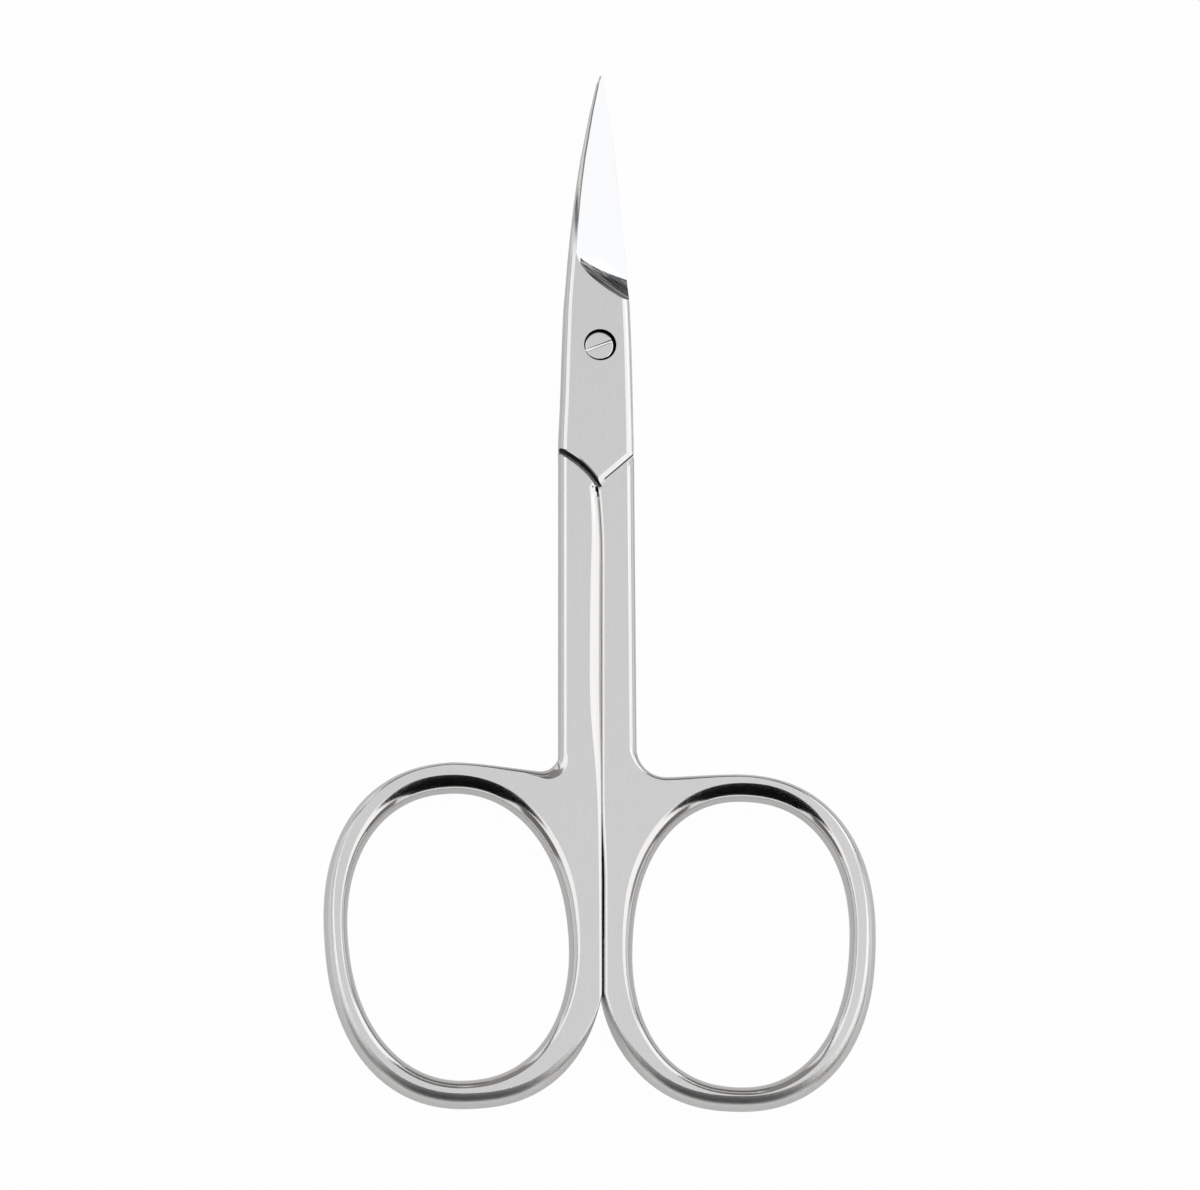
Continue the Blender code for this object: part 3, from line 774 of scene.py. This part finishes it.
def handle(half, flat_finish, round_finish, painted_shade_finish, buffed_finish):
    """Shank, web and bow as one plate with rounded edges and the finger hole."""
    parting = parting_turn(half)
    meeting = oval_point(half.outer, parting)
    top, corner = top_stations(half)
    stations = top + crotch_stations(half, corner) + bow_stations(half, parting)
    stations += split_stations(half, meeting, top[0].place)
    hole = hole_stations(half)
    back_ends = []
    for station in stations:
        on_split = abs(station.place.x - split_line(half, station.place.y)) < WELD
        bevelled = on_split and station.place.y > half.hole.y
        back_ends.append(BEVEL_END if bevelled else math.tau / 4)
    bm = bmesh.new()
    wall(bm, stations, 1, back_ends)
    for face in bm.faces:
        face.material_index = BUFFED if is_buffed(half, face.calc_center_median(), meeting) else ROUND
    wall(bm, hole, -1, [math.tau / 4] * len(hole))
    for face in bm.faces:
        face.material_index = face.material_index or ROUND
    bmesh.ops.remove_doubles(bm, verts=bm.verts, dist=WELD)
    fill_flats(bm)
    paint_end_shade(bm, half)
    return new_object("handle", bm, [flat_finish, round_finish, painted_shade_finish, buffed_finish])


def blade_edges(half, y):
    """The blade's back and its cutting edge at a height, in the half's own plan."""
    rows = OUTLINE_SHARES + ((1.0, TIP_SHARE, TIP_SHARE),)
    left, right = (share * LAP_WIDTH for share in smooth_row(rows, y / BLADE_REACH))
    back, edge = (left, right) if half.side > 0 else (-right, -left)
    tip = half.side * TIP_SHARE * LAP_WIDTH
    back = min(back, tip - TIP_WIDTH / 2)
    inside = EDGE_SETBACK * limited(y / BEND_START)
    edge = max(edge - inside, tip + TIP_WIDTH / 2)
    foot = -LAP_SIDE - FOOT_NARROWING
    if y < foot:
        edge -= FOOT_NARROWING * min((foot - y) / (2 * FOOT_NARROWING), 1)
    return back, edge


def blade_heights(y):
    """Height of the outer face, and width and depth of its side bevel."""
    share = limited((y - TAPER_START) / (BLADE_REACH - TAPER_START))
    top = between(LAP_THICKNESS, TIP_THICKNESS, share)
    width = between(BEVEL_WIDTH, TIP_BEVEL_WIDTH, share)
    return top, width, BEVEL_DEPTH * top / LAP_THICKNESS


def blade_section(half, y):
    """Section across the lap or the blade at a height, before its grind."""
    back, edge = blade_edges(half, y)
    top, width, depth = blade_heights(y)
    width = min(width, (edge - back) * WIDEST_BEVEL)
    low = BLADE_AIR / 2
    points = [(x, low) for x in spread(back, edge, ACROSS_STEPS)]
    turns = [rounding_at(share, width, depth) for share in spread(0, 1, EDGE_ROUND_STEPS)]
    rounding = [(out * width, top - depth * down) for out, down in turns]
    shallow = [(out, between(top, height, EDGE_BEVEL_SHARE)) for out, height in rounding]
    points += [(edge - width + out, height) for out, height in reversed(shallow)]
    points += [(x, top) for x in spread(edge - width, back + width, ACROSS_STEPS)[1:-1]]
    points += [(back + width - out, height) for out, height in rounding]
    return [(x, y, z) for x, z in points]


def hollow(half, y, share):
    """The ground hollow at a height and a share of its width: place, floor and depth."""
    back, edge = blade_edges(half, y)
    top, width, _ = blade_heights(y)
    start = back + min(width, (edge - back) * WIDEST_BEVEL)
    slope = min((top - BLADE_AIR / 2 - EDGE_THICKNESS) / (edge - start), STEEPEST_GRIND)
    x = between(start - BEVEL_WIDTH, edge + BEVEL_WIDTH, share)
    return x, top - (x - start) * slope, max((x - start) * slope, 0)


def grind_section(half, place):
    """The space that the grinding wheel takes, along one curved line across the blade.

    Its place is 0 on the line where the wheel leaves the lap, 1 where the steeper run-out of the
    hollow ends, and 2 past the tip.
    """
    ceiling = LAP_THICKNESS + 5 * OVERRUN  # clear of the run-out, which rises on past the lap's face
    past_tip = BLADE_REACH + OVERRUN
    points = []
    for share in spread(0, 1, GRIND_STEPS):
        depth = hollow(half, GRIND_MIDDLE, share)[2] / FULL_DEPTH
        rim = GRIND_START - GRIND_FOOT * depth**RIM_POWER
        run = max(RUN_OUT * depth**RUN_OUT_POWER, LEAST_RUN_OUT)
        y = rim + run * place if place < 1 else between(rim + run, past_tip, place - 1)
        x, floor, depth = hollow(half, y, share)
        rise = max(depth, WELD) * max(1 - place, 0) ** RUN_OUT_CURVE
        points.append((x, y, min(floor + rise, ceiling - OVERRUN)))
    return points + [(*points[-1][:2], ceiling), (*points[0][:2], ceiling)]


def lap_and_blade(half, face_finish, round_finish):
    """Lap and blade with their side bevels, before grinding, down to where the shank hides them."""
    foot = TOP_LEVEL - STEP_RUN - OVERRUN
    heights = spread(foot, BLADE_REACH, round((BLADE_REACH - foot) / STATION))
    sections = [blade_section(half, y) for y in heights]
    lap = loft("lap", sections, [face_finish, round_finish])
    flat = math.cos(ROUND_START / 2)
    for polygon in lap.data.polygons:
        if abs(polygon.normal.z) < flat:
            polygon.material_index = 1
    return lap


def grind_tool(half, finish, run_out_finish):
    """The grinding wheel's space. Its run-out, but for its narrow end, takes the wheel's marks over a
    painted dark reflection.
    """
    along_blade = round((BLADE_REACH - GRIND_MIDDLE) / STATION)
    places = spread(GRIND_LEAD, 1, RUN_OUT_STEPS) + spread(1, 2, along_blade)[1:]
    kinds = [1 if place < 1 - WELD else 0 for place in places]
    sections = [grind_section(half, place) for place in places]
    tool = loft("grind", sections, [finish, run_out_finish], kinds)
    side = hollow(half, GRIND_MIDDLE, 0)[0] + BEVEL_WIDTH + RUN_OUT_SIDE
    for polygon in tool.data.polygons:
        if polygon.center.x < side:
            polygon.material_index = 0
    return tool


def stop_line_tool(finish):
    """A fine groove at the foot of the lap's sloped step; it is given painted shade."""
    foot = STEP_UP - LAP_LOW - STEP_RUN
    inner = foot + STEP_SLOPE * STOP_START
    reach = LAP_WIDTH
    outer = foot + STEP_SLOPE * reach
    corners = (
        (STOP_START, inner + STOP_WIDTH / 2),
        (STOP_START, inner - STOP_WIDTH / 2),
        (reach, outer - STOP_WIDTH / 2),
        (reach, outer + STOP_WIDTH / 2),
    )
    return prism("stop_line", corners, FACE_HALF - STOP_DEPTH, LAP_THICKNESS + OVERRUN, [finish])


def lap_foot_tool(painted_shade_finish, rim_finish):
    """Clears the lap where the other half's shank comes up under it, and breaks the edge. Its upright
    wall is given painted shade, for the gap under the lap.
    """
    rim = LAP_THICKNESS - SHOULDER_BREAK
    profile = (
        (0, -OVERRUN),
        (SHOULDER_RADIUS, -OVERRUN),
        (SHOULDER_RADIUS, rim),
        (SHOULDER_RADIUS + OVERRUN, rim + OVERRUN),
        (0, rim + OVERRUN),
    )
    tool = turned("foot", profile, 8 * ARC_STEPS, [painted_shade_finish, rim_finish], shoulder_centre())
    for polygon in tool.data.polygons:
        sloped = abs(polygon.normal.z) > math.sin(SHARP_ANGLE)
        polygon.material_index = 1 if sloped else 0
    return tool


def front_face_tool(half, finish):
    """Grinds the lap's lower end down to the shank's face, with a sloped step."""
    reach = 2 * LAP_WIDTH
    bottom = -2 * LAP_LOW
    high = LAP_THICKNESS + OVERRUN
    low = FACE_HALF - STEP_LAP
    run = STEP_RUN / (LAP_THICKNESS - FACE_HALF)

    def section(z):
        lift = STEP_UP - LAP_LOW + run * (z - LAP_THICKNESS)
        return [
            (-reach, bottom, z),
            (reach, bottom, z),
            (reach, lift + STEP_SLOPE * reach, z),
            (-reach, lift - STEP_SLOPE * reach, z),
        ]

    return loft("front_face", [section(low), section(high)], [finish])


def bend_blade(obj):
    """Curve the blade to the back, alike at each distance from the hinge axis."""
    for vert in obj.data.vertices:
        past = math.hypot(vert.co.x, vert.co.y) - BEND_START
        if vert.co.y > 0 and past > 0:
            vert.co.z -= past**2 / (2 * BEND_RADIUS)


def shade(obj):
    """Smooth surfaces, sharp where two finishes meet or the angle is steep."""
    bm = bmesh.new()
    bm.from_mesh(obj.data)
    for face in bm.faces:
        face.smooth = True
    for edge in bm.edges:
        sharp = len(edge.link_faces) != 2
        if not sharp:
            one, two = edge.link_faces
            sharp = one.material_index != two.material_index or edge.calc_face_angle(0) > SHARP_ANGLE
        edge.smooth = not sharp
    bm.to_mesh(obj.data)
    bm.free()


def seat_tool(finish):
    """The drilled seat that the screw's head sinks into, with its edge broken."""
    floor = LAP_THICKNESS - HEAD_SUNK - HEAD_THICKNESS - SEAT_FLOOR_AIR
    radius = HEAD_RADIUS + SEAT_AIR
    rim = LAP_THICKNESS - SEAT_BREAK
    profile = (
        (0, floor),
        (radius, floor),
        (radius, rim),
        (radius + OVERRUN, rim + OVERRUN),
        (0, rim + OVERRUN),
    )
    return turned("seat", profile, SCREW_STEPS, [finish], SEAT_OFF)


def hole_tool(radius, finish):
    """The hole that the screw runs through."""
    top = LAP_THICKNESS + OVERRUN
    profile = ((0, -OVERRUN), (radius, -OVERRUN), (radius, top), (0, top))
    return turned("hole", profile, SCREW_STEPS, [finish])


def make_half(name, half, finishes):
    """One forging, finished: handle, lap, blade, screw hole."""
    satin, polished, mirror, dark, buffed, run_out = finishes
    body = handle(half, satin, polished, dark, buffed)
    lap = lap_and_blade(half, satin, polished)
    combine(lap, grind_tool(half, mirror, run_out), "DIFFERENCE")
    combine(lap, lap_foot_tool(dark, polished), "DIFFERENCE")
    combine(lap, front_face_tool(half, polished), "DIFFERENCE")
    combine(body, lap, "UNION")
    combine(body, stop_line_tool(dark), "DIFFERENCE")
    if half.side > 0:
        # The seat's faces get the finish of painted shade, for the gap round the screw's head.
        combine(body, seat_tool(dark), "DIFFERENCE")
    air = RUNNING_AIR if half.side > 0 else HELD_AIR
    combine(body, hole_tool(SCREW_RADIUS + air, polished), "DIFFERENCE")
    if half.side < 0:
        body.data.transform(Matrix.Rotation(math.pi, 4, "Y"))
    bend_blade(body)
    body.data.transform(Matrix.Translation((0, 0, LAP_THICKNESS)))
    body.name = name
    body.data.name = name
    shade(body)
    return body


def slot_tool(top, slot_finish, slot_shade_finish):
    """The slot's space: a tilted floor, one upright side and one sloped side in painted shade."""
    reach = HEAD_RADIUS + OVERRUN
    side = SLOT_WIDTH / 2
    fall = SLOT_TILT / HEAD_RADIUS / 2 * reach

    def section(x, floor, foot):
        high = top + OVERRUN
        low = floor - SLOT_LEAN
        return [(x, side, high), (x, side, floor), (x, -foot, low), (x, -side, top), (x, -side, high)]

    floor = top - SLOT_DEPTH
    feet = [side * share for share in SLOT_FOOT]
    sections = [section(-reach, floor + fall, feet[0]), section(reach, floor - fall, feet[1])]
    slot = loft("slot", sections, [slot_finish, slot_shade_finish])
    for polygon in slot.data.polygons:
        in_slot_shade = polygon.normal.y < SLOT_SHADE_FACING[0] and polygon.normal.z < SLOT_SHADE_FACING[1]
        polygon.material_index = 1 if in_slot_shade else 0
    slot.data.transform(Matrix.Rotation(SLOT_ANGLE, 4, "Z"))
    return slot


def make_screw(name, finish, slot_finish, slot_shade_finish):
    """The pivot screw, its head's edge rounded and slotted."""
    top = 2 * LAP_THICKNESS - HEAD_SUNK
    under = top - HEAD_THICKNESS
    rounded = []
    for angle in spread(0, math.tau / 4, EDGE_ROUND_STEPS):
        radius = HEAD_RADIUS - HEAD_ROUND * (1 - math.cos(angle))
        rounded.append((radius, top - HEAD_ROUND * (1 - math.sin(angle))))
    shaft = [(0, 0), (SCREW_RADIUS, 0), (SCREW_RADIUS, under)]
    profile = [*shaft, (HEAD_RADIUS, under), *rounded, (0, top)]
    screw = turned(name, profile, SCREW_STEPS, [finish, slot_finish])
    for polygon in screw.data.polygons:
        on_rounding = math.sin(ROUND_START) < polygon.normal.z < math.cos(ROUND_START)
        polygon.material_index = 1 if on_rounding else 0
    combine(screw, slot_tool(top, slot_finish, slot_shade_finish), "DIFFERENCE")
    shade(screw)
    return screw


def linear(hex_colour):
    """An sRGB hex colour as linear RGBA, by sRGB's own curve."""
    channels = [int(hex_colour[i : i + 2], 16) / 255 for i in (1, 3, 5)]
    values = [c / 12.92 if c <= 0.04045 else ((c + 0.055) / 1.055) ** 2.4 for c in channels]
    return (*values, 1)


def add_node(tree, kind, settings=None, inputs=None, links=None):
    """Add a node with its settings, its input values, and the sockets that feed its inputs."""
    node = tree.nodes.new(kind)
    for name, value in (settings or {}).items():
        setattr(node, name, value)
    for name, value in (inputs or {}).items():
        node.inputs[name].default_value = value
    for name, source in (links or {}).items():
        tree.links.new(source, node.inputs[name])
    return node


def new_material(name):
    """An empty node material, its tree and its output."""
    material = bpy.data.materials.new(name)
    material.use_nodes = True
    tree = material.node_tree
    tree.nodes.clear()
    output = tree.nodes.new("ShaderNodeOutputMaterial")
    return material, tree, output


def stainless(name, colour, roughness, streak, grain, bump, turn=0, end_roughness=0, mark_colour=None):
    """Stainless steel, with the fine streaks that a wheel or a belt leaves.

    The streaks are grain apart and bump high, turned from Y, and vary the roughness by streak up
    and down. end_roughness is added at the bows' low ends, and mark_colour darkens or lightens
    the highest streaks.
    """
    material, tree, output = new_material(name)
    coordinates = add_node(tree, "ShaderNodeTexCoord").outputs["Object"]
    turned_streaks = add_node(
        tree,
        "ShaderNodeMapping",
        inputs={"Rotation": (0, 0, turn)},
        links={"Vector": coordinates},
    )
    stretch = add_node(
        tree,
        "ShaderNodeMapping",
        inputs={"Scale": (1 / grain, 1 / (grain * STREAK_LENGTH), 1 / grain)},
        links={"Vector": turned_streaks.outputs["Vector"]},
    )
    noise = add_node(
        tree,
        "ShaderNodeTexNoise",
        inputs={"Scale": 1.0, "Detail": NOISE_DETAIL, "Roughness": NOISE_ROUGHNESS},
        links={"Vector": stretch.outputs["Vector"]},
    )
    gloss = add_node(
        tree,
        "ShaderNodeMapRange",
        inputs={
            "From Min": NOISE_LOW,
            "From Max": NOISE_HIGH,
            "To Min": roughness - streak,
            "To Max": roughness + streak,
        },
        links={"Value": noise.outputs["Fac"]},
    )
    height = add_node(
        tree,
        "ShaderNodeBump",
        inputs={"Strength": 1.0, "Distance": bump},
        links={"Height": noise.outputs["Fac"]},
    )
    rough = gloss.outputs["Result"]
    if end_roughness:
        along = add_node(tree, "ShaderNodeSeparateXYZ", links={"Vector": coordinates}).outputs["Y"]
        far_end = add_node(
            tree,
            "ShaderNodeMapRange",
            {"interpolation_type": "SMOOTHSTEP"},
            {"From Min": BUFFED_FROM, "From Max": BUFFED_TO, "To Min": 0.0, "To Max": end_roughness},
            {"Value": along},
        )
        added = add_node(
            tree,
            "ShaderNodeMath",
            {"operation": "ADD"},
            links={0: rough, 1: far_end.outputs["Result"]},
        )
        rough = added.outputs["Value"]
    shader = add_node(
        tree,
        "ShaderNodeBsdfPrincipled",
        inputs={"Base Color": linear(colour), "Metallic": 1.0},
        links={"Roughness": rough, "Normal": height.outputs["Normal"]},
    )
    if mark_colour:
        mark = add_node(
            tree,
            "ShaderNodeMapRange",
            inputs={"From Min": MARK_LOW, "From Max": MARK_HIGH},
            links={"Value": noise.outputs["Fac"]},
        )
        mixed = add_node(
            tree,
            "ShaderNodeMix",
            {"data_type": "RGBA"},
            {MIX_A: linear(colour), MIX_B: linear(mark_colour)},
            {"Factor": mark.outputs["Result"]},
        )
        tree.links.new(mixed.outputs[MIX_RESULT], shader.inputs["Base Color"])
    tree.links.new(shader.outputs["BSDF"], output.inputs["Surface"])
    return material


def studio_card(name, tone):
    """Matt card of the studio, drawn at the tone that it has in the studio's light."""
    material, tree, output = new_material(name)
    glow = add_node(tree, "ShaderNodeEmission", inputs={"Color": linear(tone), "Strength": 1.0})
    tree.links.new(glow.outputs["Emission"], output.inputs["Surface"])
    return material


def white_floor():
    """White acrylic sheet. Seen straight or in the steel it glows to white but keeps some shadow."""
    material, tree, output = new_material("white_acrylic_sheet")
    path = add_node(tree, "ShaderNodeLightPath").outputs
    seen = add_node(
        tree,
        "ShaderNodeMath",
        {"operation": "MAXIMUM"},
        links={0: path["Is Camera Ray"], 1: path["Is Transmission Ray"]},
    )
    shiny = add_node(
        tree,
        "ShaderNodeMath",
        {"operation": "MULTIPLY"},
        {1: FLOOR_IN_STEEL},
        {0: path["Is Glossy Ray"]},
    )
    most = add_node(
        tree,
        "ShaderNodeMath",
        {"operation": "MULTIPLY_ADD"},
        {1: FLOOR_SEEN},
        {0: seen.outputs[0], 2: shiny.outputs[0]},
    )
    sheet = add_node(tree, "ShaderNodeBsdfDiffuse", inputs={"Color": linear("#e0e0e0")})
    glow = add_node(tree, "ShaderNodeEmission", inputs={"Color": linear("#ffffff"), "Strength": 1.0})
    mixed = add_node(
        tree,
        "ShaderNodeMixShader",
        links={0: most.outputs[0], 1: sheet.outputs[0], 2: glow.outputs[0]},
    )
    tree.links.new(mixed.outputs[0], output.inputs["Surface"])
    return material


def board(name, centre, facing, width, height, finish, lean=0):
    """A flat card of the studio, turned towards a point. It isn't part of the object."""
    bm = bmesh.new()
    bmesh.ops.create_grid(bm, x_segments=1, y_segments=1, size=0.5)
    bmesh.ops.scale(bm, verts=bm.verts, vec=(width, height, 1))
    turn = (Vector(facing) - Vector(centre)).to_track_quat("Z", "Y").to_matrix().to_4x4()
    turn = turn @ Matrix.Rotation(lean, 4, "Z")
    bmesh.ops.transform(bm, matrix=Matrix.Translation(centre) @ turn, verts=bm.verts)
    mesh = bpy.data.meshes.new(name)
    bm.to_mesh(mesh)
    bm.free()
    mesh.materials.append(finish)
    obj = bpy.data.objects.new(name, mesh)
    bpy.context.scene.collection.objects.link(obj)
    return obj


def from_object(bearing, elevation, distance):
    """A place in the studio: bearing from +X towards +Y, elevation above the floor."""
    flat = distance * math.cos(elevation)
    return Vector((flat * math.cos(bearing), flat * math.sin(bearing), distance * math.sin(elevation)))


def reflector(name, bearings, elevations, finish, lean=0):
    """A card that the steel mirrors, between two bearings and two elevations in degrees."""
    bearings = [math.radians(angle) for angle in bearings]
    elevations = [math.radians(angle) for angle in elevations]
    half_width = math.tan((bearings[1] - bearings[0]) / 2)
    half_height = math.tan((elevations[1] - elevations[0]) / 2)
    middle = sum(elevations) / 2
    centre = from_object(sum(bearings) / 2, middle, CARD_DISTANCE)
    width = 2 * CARD_DISTANCE * half_width * math.cos(middle)
    height = 2 * CARD_DISTANCE * half_height
    obj = board(name, centre, (0, 0, 0), width, height, finish, math.radians(lean))
    obj.visible_camera = False


def softbox(name, bearings, elevations, radiance):
    """An even lamp between two bearings and two elevations in degrees, seen from the object."""
    bearings = [math.radians(angle) for angle in bearings]
    elevations = [math.radians(angle) for angle in elevations]
    middle = sum(elevations) / 2
    place = from_object(sum(bearings) / 2, middle, LAMP_DISTANCE)
    light = bpy.data.lights.new(name, "AREA")
    light.shape = "RECTANGLE"
    light.size = 2 * LAMP_DISTANCE * math.tan((bearings[1] - bearings[0]) / 2) * math.cos(middle)
    light.size_y = 2 * LAMP_DISTANCE * math.tan((elevations[1] - elevations[0]) / 2)
    light.energy = radiance * math.pi * light.size * light.size_y
    obj = bpy.data.objects.new(name, light)
    obj.location = place
    obj.rotation_euler = (-place).to_track_quat("-Z", "Y").to_euler()
    obj.visible_camera = False
    bpy.context.scene.collection.objects.link(obj)


def world():
    """An even white studio dome."""
    sky = bpy.data.worlds.new("studio_dome")
    sky.use_nodes = True
    background = sky.node_tree.nodes["Background"]
    background.inputs["Color"].default_value = linear("#ffffff")
    background.inputs["Strength"].default_value = 1.0
    bpy.context.scene.world = sky


def camera():
    """The photograph's view: nearly straight down, leaning towards the bows, from far off."""
    away = Vector((-math.sin(CAMERA_SIDE), -math.sin(CAMERA_LEAN), 0))
    away.z = math.sqrt(1 - away.length_squared)
    right = Vector((0, 1, 0)).cross(away).normalized()
    up = away.cross(right)
    data = bpy.data.cameras.new("camera")
    data.lens = LENS
    data.sensor_width = SENSOR_WIDTH
    data.clip_start, data.clip_end = CLIP
    obj = bpy.data.objects.new("camera", data)
    turn = Matrix((right, up, away)).transposed().to_4x4()
    obj.matrix_world = Matrix.Translation(CAMERA_TARGET + CAMERA_DISTANCE * away) @ turn
    bpy.context.scene.collection.objects.link(obj)
    bpy.context.scene.camera = obj


def steel_finishes():
    """The finishes of a forging from the belt and the wheel, with painted shade, a painted dark
    reflection and a painted sheen.
    """
    # Brushed on a 240-grit belt, its grains about 0.06 mm apart: soft, even grey flats with lines
    # that hardly show
    satin = stainless(
        "satin_stainless_steel",
        "#cdcccc",
        roughness=0.3,
        streak=0.05,
        grain=0.06 * MM,
        bump=0.0004 * MM,
    )
    # Polished on a cloth wheel: bright, slightly soft reflections along bevels and holes. Its real
    # lines are about 0.01 mm apart, too fine to show, so they are drawn coarser.
    polished = stainless(
        "polished_stainless_steel",
        "#d4d3d2",
        roughness=0.13,
        streak=0.03,
        grain=0.15 * MM,
        bump=0.0002 * MM,
    )
    # The bows' bars, buffed by hand: softer reflections, and softest at their low ends. The lines
    # are drawn coarser than the real ones here too. Their tone is a little lighter than the polished
    # finish's, a painted sheen for the bright floor that their outsides mirror.
    buffed = stainless(
        "buffed_stainless_steel_with_painted_sheen",
        "#dcdbda",
        roughness=0.19,
        streak=0.04,
        grain=0.15 * MM,
        bump=0.0003 * MM,
        end_roughness=0.16,
    )
    # The grind's run-out: its dark crescent is a painted dark reflection, crossed by pale lines along
    # the wheel's real marks, painted as their glints. The real lines are about 0.1 mm apart, drawn at
    # twice that to show.
    run_out = stainless(
        "wheel_marks_on_painted_dark_reflection",
        "#4a4b4d",
        roughness=0.22,
        streak=0.14,
        grain=0.22 * MM,
        bump=0.009 * MM,
        turn=WHEEL_MARKS,
        mark_colour="#b4b5b8",
    )
    # The blade's ground face, finished on a fine stone: a mirror that shows the white studio. Its
    # lines are too fine to show and drawn coarser.
    mirror = stainless(
        "mirror_ground_stainless_steel",
        "#d7d8da",
        roughness=0.07,
        streak=0.02,
        grain=0.15 * MM,
        bump=0.00005 * MM,
    )
    # Painted shade for gaps, seats and grooves: matt and nearly black, with marks about 0.15 mm
    # apart that hardly show
    dark = stainless(
        "painted_shade_steel",
        "#1b1a1a",
        roughness=0.6,
        streak=0.1,
        grain=0.15 * MM,
        bump=0.0004 * MM,
    )
    return satin, polished, mirror, dark, buffed, run_out


def studio():
    """White floor and dome, the cards that the steel mirrors, and the lamps."""
    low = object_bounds()[0].z
    board("floor", (0, 0, low), (0, 0, 1), FLOOR_SIZE, FLOOR_SIZE, white_floor())
    world()
    card_finishes = {name: studio_card(name, tone) for name, tone in CARD_TONES}
    for name, bearings, elevations, finish, lean in CARDS:
        reflector(name, bearings, elevations, card_finishes[finish], lean)
    for name, bearings, elevations, radiance in LAMPS:
        softbox(name, bearings, elevations, radiance)


def main():
    """Make the pieces, tie each to its body and hide the node that it replaces, and set up studio and
    camera.
    """
    finishes = steel_finishes()
    satin, polished, _, dark, _, _ = finishes
    front = make_half("front_forging", front_values(), finishes)
    rear = make_half("rear_forging", rear_values(), finishes)
    screw = make_screw("slotted_screw", satin, polished, dark)
    for piece, body, node, slot in (
        (front, "front", "front_half", "satin_steel"),
        (rear, "rear", "rear_half", "satin_steel"),
        (screw, "rear", "pivot_screw", "screw_steel"),
    ):
        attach(piece, body)
        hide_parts(node)
    studio()
    camera()


main()
bpy.context.scene.view_settings.view_transform = "Standard"
